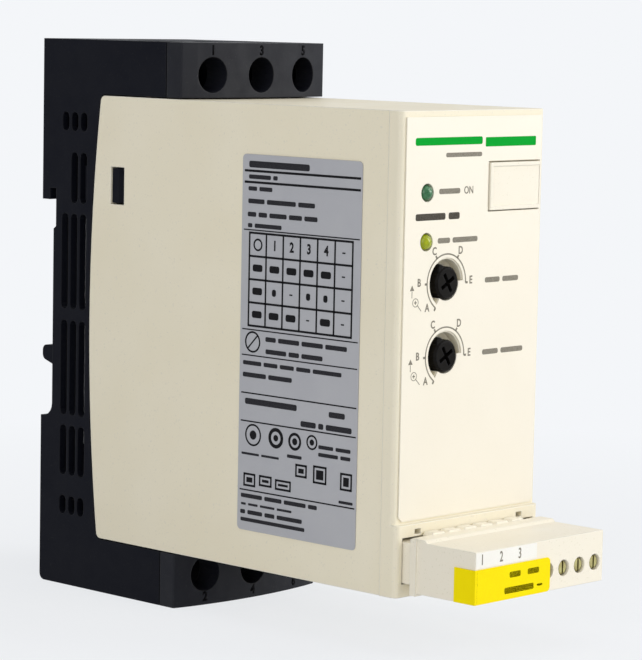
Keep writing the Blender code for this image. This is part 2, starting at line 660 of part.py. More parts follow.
def cover_outline():
    """Plan of a terminal cover, as (x, d): flat back, face bowed out in the middle."""
    half = HALF_BODY
    points = [(half, COVER_BACK)]
    points += arc(half - COVER_CORNER, COVER_EDGE - COVER_CORNER, COVER_CORNER,
                  0, COVER_CORNER_SWEEP, CORNER_STEPS)
    span = half - COVER_CORNER
    for i in range(1, COVER_BOW_STEPS):
        x = span - 2 * span * i / COVER_BOW_STEPS
        points.append((x, COVER_EDGE + COVER_BOW * (1 - (x / half) ** 2)))
    points += arc(-half + COVER_CORNER, COVER_EDGE - COVER_CORNER, COVER_CORNER,
                  180 - COVER_CORNER_SWEEP, 180, CORNER_STEPS)
    points.append((-half, COVER_BACK))
    return points


def build_cover(side, black):
    z0, z1 = sorted((inset_z(side, 0), inset_z(side, ARM_HEIGHT)))
    cover = make_piece(side + "_terminal_cover", extrusion(cover_outline(), "z", z0, z1), black)
    hollow_depth = COVER_EDGE - COVER_WALL
    cut(cover, "hollow", [block(-HALF_BODY + COVER_WALL, HALF_BODY - COVER_WALL,
                                COVER_BACK - WALL, hollow_depth,
                                z0 + COVER_WALL, z1 - COVER_WALL)])
    axis_z = inset_z(side, SCREW_AXIS_INSET)
    tube_radius = ACCESS_RADIUS + COVER_TUBE_WALL
    tube_radius = min(tube_radius, ARM_HEIGHT - SCREW_AXIS_INSET)
    fuse(cover, "tubes", [rod(x, axis_z, tube_radius - FIT / 2, COVER_BACK, hollow_depth + COVER_WALL / 2)
                          for x in POLE_XS])
    reach = COVER_EDGE + COVER_BOW + WALL
    cut(cover, "access_holes", [rod(x, axis_z, ACCESS_RADIUS, COVER_BACK - WALL, reach) for x in POLE_XS])
    return cover


# Power terminals

def cross_outline(x, z, angle):
    """Cross slot for a screwdriver, as (x, z), with one bar along the angle in degrees."""
    long, wide = CROSS_LENGTH / 2, CROSS_WIDTH / 2
    cross = [(long, wide), (wide, wide), (wide, long), (-wide, long), (-wide, wide), (-long, wide),
             (-long, -wide), (-wide, -wide), (-wide, -long), (wide, -long), (wide, -wide), (long, -wide)]
    ahead, aside = math.cos(math.radians(angle)), math.sin(math.radians(angle))
    return [(x + a * ahead - b * aside, z + a * aside + b * ahead) for a, b in cross]


def screw_solid(x, z, head, shank, steps):
    """Cheese-head screw along the depth; head and shank are (radius, start, end)."""
    tip_edge = shank[0] * 0.25
    profile = [(shank[0] - tip_edge, shank[1]), (shank[0], shank[1] + tip_edge), (shank[0], shank[2]),
               (head[0], head[1]), (head[0], head[2] - tip_edge), (head[0] - tip_edge, head[2])]
    return turned(x, z, profile, steps)


def build_terminal_screw(name, side, x, steel):
    z = inset_z(side, SCREW_AXIS_INSET)
    head_end = SCREW_HEAD_START + SCREW_HEAD_HEIGHT
    bm = screw_solid(x, z, (SCREW_HEAD_RADIUS, SCREW_HEAD_START, head_end),
                     (SCREW_SHANK_RADIUS, BAR_FRONT + FIT, SCREW_HEAD_START), ROUND_STEPS)
    screw = make_piece(name, bm, steel, origin=(x, SCREW_HEAD_START, z), smooth=True)
    cut(screw, "cross", [extrusion(cross_outline(x, z, 90.0), "d", head_end - CROSS_DEPTH, head_end + FIT)])
    return screw


def cage_solid(x, half_width, side_wall, outer_back, inner_back, nut_back, nut_front, z0, z1):
    """Cage that loops round bar and wire, seen along z, with its nut wall in front."""
    bm = extrusion(rectangle(x - half_width, x + half_width, outer_back, nut_front), "z", z0, z1)
    window = extrusion(rectangle(x - half_width + side_wall, x + half_width - side_wall,
                                 inner_back, nut_back), "z", z0 - WALL, z1 + WALL)
    return bm, window


def build_cage(name, side, x, steel):
    z = inset_z(side, SCREW_AXIS_INSET)
    bm, window = cage_solid(x, CAGE_HALF_WIDTH, CAGE_SIDE_WALL, CAGE_OUTER_BACK, CAGE_INNER_BACK,
                            CAGE_NUT_BACK, CAGE_NUT_FRONT, z - CAGE_HALF_HEIGHT, z + CAGE_HALF_HEIGHT)
    cage = make_piece(name, bm, steel, origin=(x, CAGE_NUT_BACK, z))
    cut(cage, "window", [window])
    cut(cage, "thread", [rod(x, z, SCREW_SHANK_RADIUS + FIT, CAGE_NUT_BACK - FIT, CAGE_NUT_FRONT + FIT)])
    return cage


def build_bar(name, side, x, copper):
    """Contact strip from the cage through the arm's inner wall to the power board."""
    end_inset = ARM_HEIGHT + SEAM + WALL + BOARD_MARGIN + BAR_SOLDER_LENGTH
    bm = arm_block(side, x - BAR_HALF_WIDTH, x + BAR_HALF_WIDTH, BAR_BACK, BAR_FRONT,
                   BAR_OUTER_INSET, end_inset)
    return make_piece(name, bm, copper)


# Rail clip and its spring

def spring_post_base():
    return CLIP_WINDOW_BASE_Z + SPRING_POST_RISE


def spring_base():
    return spring_post_base() + SPRING_POST_HEIGHT + SEAM


def spring_top():
    return CLIP_WINDOW_BASE_Z + CLIP_WINDOW_HEIGHT - SEAM


def build_clip(black):
    front = CLIP_CHANNEL_DEPTH - FIT
    back = front - CLIP_THICKNESS
    rib_back = back - CLIP_RIB_THICKNESS
    clip = make_piece("rail_clip", block(-CLIP_HALF_WIDTH, CLIP_HALF_WIDTH, back, front,
                                         CLIP_BASE_Z, CLIP_TOP_Z),
                      black, origin=(0.0, front, CLIP_BASE_Z))
    overlap = CLIP_THICKNESS / 2
    fuse(clip, "rib", [block(-CLIP_RIB_HALF_WIDTH, CLIP_RIB_HALF_WIDTH, rib_back, back + overlap,
                             CLIP_BASE_Z + overlap, RAIL_RECESS_Z - CLIP_TRAVEL)])
    nose_base = CLIP_TOP_Z - CLIP_NOSE_HEIGHT
    nose = [(back + overlap, nose_base), (back + overlap, CLIP_TOP_Z - FIT),
            (FIT, CLIP_TOP_Z - FIT), (FIT, CLIP_TOP_Z - CLIP_NOSE_LIP)]
    fuse(clip, "nose", [extrusion(nose, "x", -CLIP_HALF_WIDTH + FIT, CLIP_HALF_WIDTH - FIT)])
    half = CLIP_WINDOW_HALF_WIDTH
    slot_base = (CLIP_BASE_Z + CLIP_WINDOW_BASE_Z - CLIP_SLOT_HEIGHT) / 2
    cut(clip, "windows", [
        block(-half, half, rib_back - WALL, front + WALL,
              CLIP_WINDOW_BASE_Z, CLIP_WINDOW_BASE_Z + CLIP_WINDOW_HEIGHT),
        block(-half, half, rib_back - WALL, front + WALL, slot_base, slot_base + CLIP_SLOT_HEIGHT)])
    return clip


def build_spring(steel):
    """Round-wire helix that stands on the housing's post and lifts the clip."""
    middle = CLIP_CHANNEL_DEPTH - FIT - SPRING_RADIUS - SPRING_WIRE_RADIUS
    low = spring_base() + SPRING_WIRE_RADIUS
    high = spring_top() - SPRING_WIRE_RADIUS
    count = SPRING_TURNS * SPRING_STEPS
    bm = bmesh.new()
    rings = []
    for i in range(count + 1):
        angle = 2 * math.pi * i / SPRING_STEPS
        outward = Vector((math.cos(angle), math.sin(angle), 0.0))
        centre = Vector((0.0, (REAR_Y - middle) * MM, (low + (high - low) * i / count) * MM))
        centre += outward * SPRING_RADIUS * MM
        ring = []
        for k in range(SPRING_WIRE_SIDES):
            turn = 2 * math.pi * k / SPRING_WIRE_SIDES
            offset = outward * math.cos(turn) + Vector((0.0, 0.0, 1.0)) * math.sin(turn)
            ring.append(bm.verts.new(centre + offset * SPRING_WIRE_RADIUS * MM))
        rings.append(ring)
    for ring, following in zip(rings, rings[1:]):
        for k in range(SPRING_WIRE_SIDES):
            j = (k + 1) % SPRING_WIRE_SIDES
            bm.faces.new((ring[k], ring[j], following[j], following[k]))
    bm.faces.new(rings[0])
    bm.faces.new(rings[-1])
    bmesh.ops.recalc_face_normals(bm, faces=bm.faces)
    return make_piece("rail_clip_spring", bm, steel, smooth=True)


# Cream main housing

def frame_outline(front, corner):
    """Plan of the front frame, as (x, d), with round front corners."""
    back = PANEL_DEPTH - FRAME_DEPTH
    points = [(-HALF_FRAME, back), (HALF_FRAME, back)]
    points += arc(HALF_FRAME - corner, front - corner, corner, 0, 90, CORNER_STEPS)
    points += arc(-HALF_FRAME + corner, front - corner, corner, 90, 180, CORNER_STEPS)
    return points


def cream_outline():
    """Side view of the cream housing, round at its rear corners, as (d, z)."""
    radius = THROAT_ROUND - SEAM
    points = [(PANEL_INSIDE, CREAM_BASE_Z), (PANEL_INSIDE, CREAM_TOP_Z)]
    points += arc(CREAM_REAR + radius, CREAM_TOP_Z - radius, radius, 90, 180, CORNER_STEPS)
    points += reversed(bowed_seam(CREAM_REAR))
    points += arc(CREAM_REAR + radius, CREAM_BASE_Z + radius, radius, 180, 270, CORNER_STEPS)
    return points


def board_ribs():
    """Upright ribs inside the side walls that hold the power board between them."""
    ribs = []
    inner = HALF_CAVITY - BOARD_RIB
    overlap = WALL / 2
    for sign in (-1, 1):
        x0, x1 = sorted((sign * inner, sign * (HALF_CAVITY + overlap)))
        for d0 in (POWER_BOARD_DEPTH - SEAM - BOARD_RIB_WIDTH, POWER_BOARD_FRONT + SEAM):
            ribs.append(block(x0, x1, d0, d0 + BOARD_RIB_WIDTH,
                              CREAM_BASE_Z + overlap, CREAM_TOP_Z - overlap))
    return ribs


def well_outline(z, radius):
    """Sector of a dial well that the knob's pointer sweeps, as (x, z)."""
    return [(DIAL_X, z)] + arc(DIAL_X, z, radius, WELL_START, WELL_END, WELL_STEPS)


def build_main_housing(cream):
    housing = make_piece("main_housing", extrusion(cream_outline(), "x", -HALF_BODY, HALF_BODY), cream)
    fuse(housing, "front_frame", [extrusion(frame_outline(PANEL_DEPTH, PANEL_CORNER), "z",
                                            CREAM_BASE_Z, CREAM_TOP_Z)])
    fuse(housing, "socket_zone", [extrusion(frame_outline(SOCKET_FRONT, PANEL_CORNER), "z",
                                            CREAM_BASE_Z, SOCKET_ZONE_TOP_Z)])
    inside_base = CREAM_BASE_Z + WALL
    cut(housing, "cavity", [block(-HALF_CAVITY, HALF_CAVITY, CREAM_REAR - SPINE_BOW - WALL, PANEL_INSIDE,
                                  inside_base, CREAM_TOP_Z - WALL)])
    fuse(housing, "board_ribs", board_ribs())
    overlap = WALL / 2
    fuse(housing, "socket_roof", [block(-HALF_CAVITY - overlap, HALF_CAVITY + overlap,
                                        PART_SEAT, PANEL_INSIDE + overlap,
                                        SOCKET_TOP_Z, SOCKET_TOP_Z + SOCKET_WALL)])
    fuse(housing, "socket_floor", [block(-HALF_CAVITY - overlap, HALF_CAVITY + overlap,
                                         PART_SEAT, PANEL_INSIDE + overlap,
                                         inside_base - overlap, SOCKET_BASE_Z)])
    fuse(housing, "wells", [rod(DIAL_X, z, WELL_RADIUS + WELL_WALL,
                                POT_FRONT + SEAM, PANEL_INSIDE + overlap) for z in DIAL_ZS])
    boss_x = HALF_CAVITY - BOSS_RADIUS
    fuse(housing, "board_bosses", [rod(sign * boss_x, z, BOSS_RADIUS, PART_SEAT, PANEL_INSIDE + overlap,
                                       PLUG_ROUND_STEPS)
                                   for sign in (-1, 1) for z in boss_heights()])
    cut(housing, "socket", [block(-SOCKET_HALF_WIDTH, SOCKET_HALF_WIDTH, PART_SEAT - FIT,
                                  SOCKET_FRONT + WALL, SOCKET_BASE_Z, SOCKET_TOP_Z)])
    key_z = SOCKET_TOP_Z + KEYHOLE_RISE
    cut(housing, "keyholes", [block(sign * KEYHOLE_X - KEYHOLE_WIDTH / 2,
                                    sign * KEYHOLE_X + KEYHOLE_WIDTH / 2,
                                    SOCKET_FRONT - KEYHOLE_DEPTH, SOCKET_FRONT + WALL,
                                    key_z, key_z + KEYHOLE_HEIGHT) for sign in (-1, 1)])
    cut(housing, "well_bores", [extrusion(well_outline(z, WELL_RADIUS), "d",
                                          WELL_FLOOR_DEPTH, PANEL_DEPTH + WALL) for z in DIAL_ZS])
    cut(housing, "knob_holes", [rod(DIAL_X, z, KNOB_RADIUS + FIT, POT_FRONT - FIT, PANEL_DEPTH + WALL)
                                for z in DIAL_ZS])
    cut(housing, "led_holes", [rod(LED_X, z, LED_RADIUS + FIT, PANEL_INSIDE - WALL, PANEL_DEPTH + WALL)
                               for z in LED_ZS])
    cut(housing, "marker_recess", [block(MARKER_LEFT_X - FIT, MARKER_RIGHT_X + FIT,
                                         PANEL_DEPTH - MARKER_RECESS, PANEL_DEPTH + WALL,
                                         MARKER_BASE_Z - FIT, MARKER_BASE_Z + MARKER_HEIGHT + FIT)])
    cut(housing, "snap_windows", [block(-HALF_FRAME, HALF_FRAME, SNAP_DEPTH, SNAP_DEPTH + SNAP_LENGTH,
                                        SNAP_Z, SNAP_Z + SNAP_HEIGHT)])
    cut(housing, "bar_slots", [bar_slot(side, x, ARM_HEIGHT - WALL, ARM_HEIGHT + SEAM + 2 * WALL)
                               for side in ("line", "load") for x in POLE_XS])
    return housing


def boss_heights():
    """Heights of the front board's four bosses, near its upper and lower ends."""
    return (SOCKET_ZONE_TOP_Z + WALL + BOSS_RADIUS, BOARD_TOP_Z - WALL - BOSS_RADIUS)


def build_front_film(cream):
    """Thin printed film on the panel, with holes for indicators, dials and marker plate."""
    half = HALF_FRAME - FILM_MARGIN
    base = SOCKET_ZONE_TOP_Z + FILM_BASE_RISE
    outline = [(-half + FILM_NOTCH, base), (half - FILM_NOTCH, base), (half, base + FILM_NOTCH),
               (half, CREAM_TOP_Z - FILM_MARGIN), (-half, CREAM_TOP_Z - FILM_MARGIN),
               (-half, base + FILM_NOTCH)]
    film = make_piece("front_film", extrusion(outline, "d", FILM_BACK, FILM_FRONT), cream)
    holes = [rod(LED_X, z, LED_RADIUS + FIT, PANEL_DEPTH - FIT, FILM_FRONT + FIT) for z in LED_ZS]
    holes += [rod(DIAL_X, z, KNOB_RADIUS + FIT, PANEL_DEPTH - FIT, FILM_FRONT + FIT) for z in DIAL_ZS]
    holes.append(block(MARKER_LEFT_X - FIT, MARKER_RIGHT_X + FIT,
                       PANEL_DEPTH - FIT, FILM_FRONT + FIT,
                       MARKER_BASE_Z - FIT, MARKER_BASE_Z + MARKER_HEIGHT + FIT))
    cut(film, "holes", holes)
    cut(film, "well_bores", [extrusion(well_outline(z, WELL_RADIUS + FIT), "d",
                                       PANEL_DEPTH - FIT, FILM_FRONT + FIT) for z in DIAL_ZS])
    return film


def build_marker_plate(cream):
    back = PANEL_DEPTH - MARKER_RECESS + SEAM
    front = PANEL_DEPTH + MARKER_STAND
    x0, x1 = MARKER_LEFT_X, MARKER_RIGHT_X
    z0, z1 = MARKER_BASE_Z, MARKER_BASE_Z + MARKER_HEIGHT
    plate = make_piece("marker_plate", block(x0, x1, back, front, z0, z1), cream)
    cut(plate, "field", [block(x0 + MARKER_RIM, x1 + MARKER_RIM, front - MARKER_RIM_HEIGHT, front + FIT,
                               z0 + MARKER_RIM, z1 - MARKER_RIM)])
    return plate


def build_led(name, z, color):
    """Indicator lamp: flange on the board, shaft and dome through the panel."""
    dome_top = PANEL_DEPTH + LED_STAND
    dome_base = dome_top - LED_RADIUS
    profile = [(LED_FLANGE_RADIUS, PART_SEAT), (LED_FLANGE_RADIUS, PART_SEAT + LED_FLANGE_HEIGHT),
               (LED_RADIUS, PART_SEAT + LED_FLANGE_HEIGHT)]
    quarter = arc(0, dome_base, LED_RADIUS, 0, 90, CORNER_STEPS)
    profile += quarter[:-1] + [(0, dome_top)]
    return make_piece(name, turned(LED_X, z, profile), color, smooth=True)


def build_potentiometer(name, z, material):
    bm = extrusion(rounded(DIAL_X - POT_HALF_SIZE, DIAL_X + POT_HALF_SIZE,
                           z - POT_HALF_SIZE, z + POT_HALF_SIZE, FIT), "d", PART_SEAT, POT_FRONT)
    return make_piece(name, bm, material)


def build_knob(name, z, black):
    """Setting knob with a cross slot and a small pointer lobe, at its middle setting."""
    back = POT_FRONT + SEAM
    face = PANEL_DEPTH + KNOB_STAND
    profile = [(KNOB_RADIUS, back), (KNOB_RADIUS, face - KNOB_EDGE), (KNOB_RADIUS - KNOB_EDGE, face)]
    knob = make_piece(name, turned(DIAL_X, z, profile), black, origin=(DIAL_X, face, z), smooth=True)
    aim = math.radians(KNOB_POINTER_ANGLE)
    lobe_x = DIAL_X + KNOB_RADIUS * math.cos(aim)
    lobe_z = z + KNOB_RADIUS * math.sin(aim)
    fuse(knob, "pointer", [rod(lobe_x, lobe_z, KNOB_POINTER_RADIUS, WELL_FLOOR_DEPTH + FIT,
                               face - KNOB_EDGE, PLUG_ROUND_STEPS)])
    cut(knob, "cross", [extrusion(cross_outline(DIAL_X, z, KNOB_POINTER_ANGLE), "d",
                                  face - CROSS_DEPTH, face + FIT)])
    return knob


# Boards and power parts inside

def build_boards(board):
    half = HALF_CAVITY - SEAM
    power = make_piece("power_board", block(-half, half, POWER_BOARD_DEPTH, POWER_BOARD_FRONT,
                                            BOARD_BASE_Z, BOARD_TOP_Z), board)
    front = make_piece("front_board", block(-half, half, FRONT_BOARD_DEPTH, FRONT_BOARD_FRONT,
                                            BOARD_BASE_Z, BOARD_TOP_Z), board)
    control = make_piece("control_board", block(CONTROL_BOARD_X, CONTROL_BOARD_X + BOARD_THICKNESS,
                                                POWER_BOARD_FRONT + SEAM, FRONT_BOARD_DEPTH - SEAM,
                                                CONTROL_BOARD_BASE_Z, CONTROL_BOARD_TOP_Z), board)
    return power, front, control


def sink_faces():
    """Depths of the heat sink's fin tips, plate back and plate front."""
    tips = SPINE_CAVITY_DEPTH + SEAM
    front = SPINE_DEPTH
    return tips, front - SINK_PLATE, front


def build_heat_sink(metal):
    tips, plate_back, front = sink_faces()
    sink = make_piece("heat_sink", block(-SINK_HALF_WIDTH, SINK_HALF_WIDTH, plate_back, front,
                                         SINK_INSET, DEVICE_HEIGHT - SINK_INSET), metal)
    pitch = (2 * SINK_HALF_WIDTH - SINK_FIN_WIDTH) / (SINK_FIN_COUNT - 1)
    fins = []
    for i in range(SINK_FIN_COUNT):
        x0 = -SINK_HALF_WIDTH + i * pitch
        fins.append(block(x0, x0 + SINK_FIN_WIDTH, tips, plate_back + SINK_PLATE / 2,
                          SINK_INSET, DEVICE_HEIGHT - SINK_INSET))
    fuse(sink, "fins", fins)
    return sink


def build_module(name, z0, black):
    """Thyristor module between heat sink and power board, with a thinner ear at each end."""
    back = sink_faces()[2] + SEAM
    front = POWER_BOARD_DEPTH - SEAM
    z1 = z0 + MODULE_HEIGHT
    outline = [(back, z0), (back + MODULE_STEP, z0), (back + MODULE_STEP, z0 + MODULE_EAR),
               (front, z0 + MODULE_EAR), (front, z1 - MODULE_EAR),
               (back + MODULE_STEP, z1 - MODULE_EAR), (back + MODULE_STEP, z1), (back, z1)]
    return make_piece(name, extrusion(outline, "x", -MODULE_HALF_WIDTH, MODULE_HALF_WIDTH), black)


def build_power_parts(black, yellow):
    build_module("thyristor_module_lower", MIDDLE_Z - MODULE_GAP / 2 - MODULE_HEIGHT, black)
    build_module("thyristor_module_upper", MIDDLE_Z + MODULE_GAP / 2, black)
    seat = POWER_BOARD_FRONT + SEAM
    width, depth, height = RELAY_SIZE
    relay = rounded(RELAY_X - width / 2, RELAY_X + width / 2, RELAY_BASE_Z, RELAY_BASE_Z + height, FIT)
    make_piece("bypass_relay", extrusion(relay, "d", seat, seat + depth), black)
    half = TRANSFORMER_WIDTH / 2
    stand = TRANSFORMER_COIL_STAND
    front = seat + TRANSFORMER_DEPTH
    core = make_piece("control_transformer", block(-half, half, seat + stand, front,
                                                   TRANSFORMER_BASE_Z, TRANSFORMER_TOP_Z), yellow)
    fuse(core, "coil_former", [block(-half + stand, half - stand, seat, front + stand,
                                     TRANSFORMER_BASE_Z + stand, TRANSFORMER_TOP_Z - stand)])


def build_header(cream):
    """Pin header on the front board; its pins are part of it."""
    header = make_piece("plug_header", block(-SOCKET_HALF_WIDTH + FIT, SOCKET_HALF_WIDTH - FIT,
                                             PART_SEAT, HEADER_FRONT,
                                             SOCKET_BASE_Z + FIT, SOCKET_TOP_Z - FIT), cream)
    fuse(header, "pins", [block(x - PIN_HALF, x + PIN_HALF, HEADER_FRONT - FIT, HEADER_FRONT + PIN_LENGTH,
                                PIN_Z - PIN_HALF, PIN_Z + PIN_HALF) for x in PLUG_POLE_XS])
    return header


# Pull-out control plug

def plug_outline():
    """Side view of the plug, as (d, z): sleeve, rim, sloping ledge and body."""
    rim_front = PLUG_RIM_BACK + PLUG_RIM
    sleeve_top = SOCKET_TOP_Z - FIT - PLUG_TAB_HEIGHT
    return [(SLEEVE_BACK, SOCKET_BASE_Z + FIT), (PLUG_RIM_BACK, SOCKET_BASE_Z + FIT),
            (PLUG_RIM_BACK, PLUG_BASE_Z), (PLUG_FRONT_DEPTH, PLUG_BASE_Z),
            (PLUG_FRONT_DEPTH, PLUG_TOP_Z), (rim_front + PLUG_LEDGE, PLUG_TOP_Z),
            (rim_front + PLUG_LEDGE - PLUG_LEDGE_RISE, PLUG_TOP_Z + PLUG_LEDGE_RISE),
            (PLUG_RIM_BACK, PLUG_TOP_Z + PLUG_LEDGE_RISE), (PLUG_RIM_BACK, sleeve_top),
            (SLEEVE_BACK, sleeve_top)]


def tabs(top, start, end):
    """Row of tabs with sloped corners on top of the sleeve, between two depths."""
    base = SOCKET_TOP_Z - 2 * FIT - PLUG_TAB_HEIGHT
    half = PLUG_TAB_WIDTH / 2
    shoulder = top - PLUG_TAB_HEIGHT
    row = []
    for i in range(PLUG_TAB_COUNT):
        x = (i - (PLUG_TAB_COUNT - 1) / 2) * PLUG_TAB_PITCH
        outline = [(x - half, base), (x + half, base), (x + half, shoulder),
                   (x + half - PLUG_TAB_HEIGHT, top), (x - half + PLUG_TAB_HEIGHT, top), (x - half, shoulder)]
        row.append(extrusion(outline, "d", start, end))
    return row


def build_plug(cream):
    plug = make_piece("control_plug", extrusion(plug_outline(), "x", -PLUG_HALF_WIDTH, PLUG_HALF_WIDTH),
                      cream, origin=(0.0, PLUG_RIM_BACK, PLUG_BASE_Z))
    rim_half = PLUG_HALF_WIDTH + PLUG_RIM_STAND
    fuse(plug, "rim", [block(-rim_half, rim_half, PLUG_RIM_BACK, PLUG_RIM_BACK + PLUG_RIM,
                             PLUG_BASE_Z - PLUG_RIM_STAND, PLUG_TOP_Z + PLUG_RIM_STAND)])
    fuse(plug, "tabs", tabs(SOCKET_TOP_Z - FIT, SOCKET_FRONT - PANEL_WALL, PLUG_RIM_BACK + FIT))
    fuse(plug, "tab_roots", tabs(PLUG_TOP_Z + PLUG_TAB_ROOT_RISE, SOCKET_FRONT + FIT, PLUG_RIM_BACK + FIT))
    chamber_half = PLUG_CAGE_HALF_WIDTH + FIT
    chamber_base = PLUG_SCREW_Z - PLUG_CAGE_HALF_HEIGHT - FIT
    chamber_top = PLUG_SCREW_Z + PLUG_CAGE_HALF_HEIGHT + FIT
    cut(plug, "chambers", [block(x - chamber_half, x + chamber_half, PLUG_CAGE_OUTER_BACK - FIT,
                                 PLUG_CHAMBER_FRONT, chamber_base, chamber_top) for x in PLUG_POLE_XS])
    wire_half = PLUG_CAGE_HALF_WIDTH - PLUG_CAGE_SIDE_WALL
    cut(plug, "wire_entries", [block(x - wire_half, x + wire_half, PLUG_CAGE_INNER_BACK,
                                     PLUG_CONTACT_BACK, PLUG_BASE_Z - FIT, chamber_base + FIT)
                               for x in PLUG_POLE_XS])
    cut(plug, "screw_holes", [rod(x, PLUG_SCREW_Z, PLUG_HOLE_RADIUS, PLUG_CHAMBER_FRONT - FIT,
                                  PLUG_FRONT_DEPTH + FIT, PLUG_ROUND_STEPS) for x in PLUG_POLE_XS])
    pin_half = PIN_HALF + FIT
    cut(plug, "pin_holes", [block(x - pin_half, x + pin_half, SLEEVE_BACK - FIT,
                                  HEADER_FRONT + PIN_LENGTH + FIT, PIN_Z - pin_half, PIN_Z + pin_half)
                            for x in PLUG_POLE_XS])
    fuse(plug, "contacts", [block(x - PLUG_CONTACT_HALF_WIDTH, x + PLUG_CONTACT_HALF_WIDTH,
                                  PLUG_CONTACT_BACK, PLUG_CONTACT_FRONT,
                                  chamber_base + FIT, chamber_top + FIT) for x in PLUG_POLE_XS])
    return plug


def build_plug_screw(name, x, plug, brass):
    bm = screw_solid(x, PLUG_SCREW_Z, (PLUG_HEAD_RADIUS, PLUG_HEAD_BACK, PLUG_HEAD_FRONT),
                     (PLUG_SHANK_RADIUS, PLUG_CONTACT_FRONT + FIT, PLUG_HEAD_BACK), PLUG_ROUND_STEPS)
    screw = make_piece(name, bm, brass, origin=(x, PLUG_HEAD_FRONT, PLUG_SCREW_Z), parent=plug, smooth=True)
    half = PLUG_SLOT_WIDTH / 2
    cut(screw, "slot", [block(x - half, x + half, PLUG_HEAD_FRONT - PLUG_SLOT_DEPTH, PLUG_HEAD_FRONT + FIT,
                              PLUG_SCREW_Z - PLUG_HOLE_RADIUS, PLUG_SCREW_Z + PLUG_HOLE_RADIUS)])
    return screw


def build_plug_cage(name, x, plug, brass):
    z = PLUG_SCREW_Z
    bm, window = cage_solid(x, PLUG_CAGE_HALF_WIDTH, PLUG_CAGE_SIDE_WALL, PLUG_CAGE_OUTER_BACK,
                            PLUG_CAGE_INNER_BACK, PLUG_NUT_BACK, PLUG_NUT_FRONT,
                            z - PLUG_CAGE_HALF_HEIGHT, z + PLUG_CAGE_HALF_HEIGHT)
    cage = make_piece(name, bm, brass, origin=(x, PLUG_NUT_BACK, z), parent=plug)
    cut(cage, "window", [window])
    cut(cage, "thread", [rod(x, z, PLUG_SHANK_RADIUS + FIT, PLUG_NUT_BACK - FIT, PLUG_NUT_FRONT + FIT,
                             PLUG_ROUND_STEPS)])
    return cage


# Stuck-on labels

def build_rating_label(grey):
    outline = rounded(RATING_LABEL_START, RATING_LABEL_START + RATING_LABEL_LENGTH,
                      RATING_LABEL_BASE_Z, RATING_LABEL_BASE_Z + RATING_LABEL_HEIGHT, RATING_LABEL_ROUND)
    inner = -HALF_BODY - LABEL_LIFT
    return make_piece("rating_label", extrusion(outline, "x", inner - LABEL_THICKNESS, inner), grey)


def build_plug_label(plug, yellow):
    """Yellow film folded round the plug's front left edge."""
    z0 = PLUG_BASE_Z
    z1 = z0 + PLUG_LABEL_HEIGHT
    inner_x = -PLUG_HALF_WIDTH - LABEL_LIFT
    inner_d = PLUG_FRONT_DEPTH + LABEL_LIFT
    right_x = -PLUG_HALF_WIDTH + PLUG_LABEL_WIDTH
    back_d = PLUG_FRONT_DEPTH - PLUG_LABEL_WRAP
    plan = [(inner_x, back_d), (inner_x, inner_d), (right_x, inner_d),
            (right_x, inner_d + LABEL_THICKNESS), (inner_x - LABEL_THICKNESS, inner_d + LABEL_THICKNESS),
            (inner_x - LABEL_THICKNESS, back_d)]
    label = make_piece("plug_label", extrusion(plan, "z", z0, z1), yellow,
                       origin=(0.0, PLUG_RIM_BACK, PLUG_BASE_Z), parent=plug)
    round_x = right_x - PLUG_LABEL_ROUND
    lower = arc(round_x, z0 + PLUG_LABEL_ROUND, PLUG_LABEL_ROUND, 0, -90, CORNER_STEPS)
    lower += [(round_x, z0 - FIT), (right_x + FIT, z0 - FIT), (right_x + FIT, z0 + PLUG_LABEL_ROUND)]
    upper = [(x, z0 + z1 - z) for x, z in lower]
    cut(label, "corners", [extrusion(corner, "d", inner_d - LABEL_LIFT, inner_d + LABEL_THICKNESS + FIT)
                           for corner in (lower, upper)])
    return label


def clear_scene():
    for item in list(bpy.data.objects):
        bpy.data.objects.remove(item, do_unlink=True)


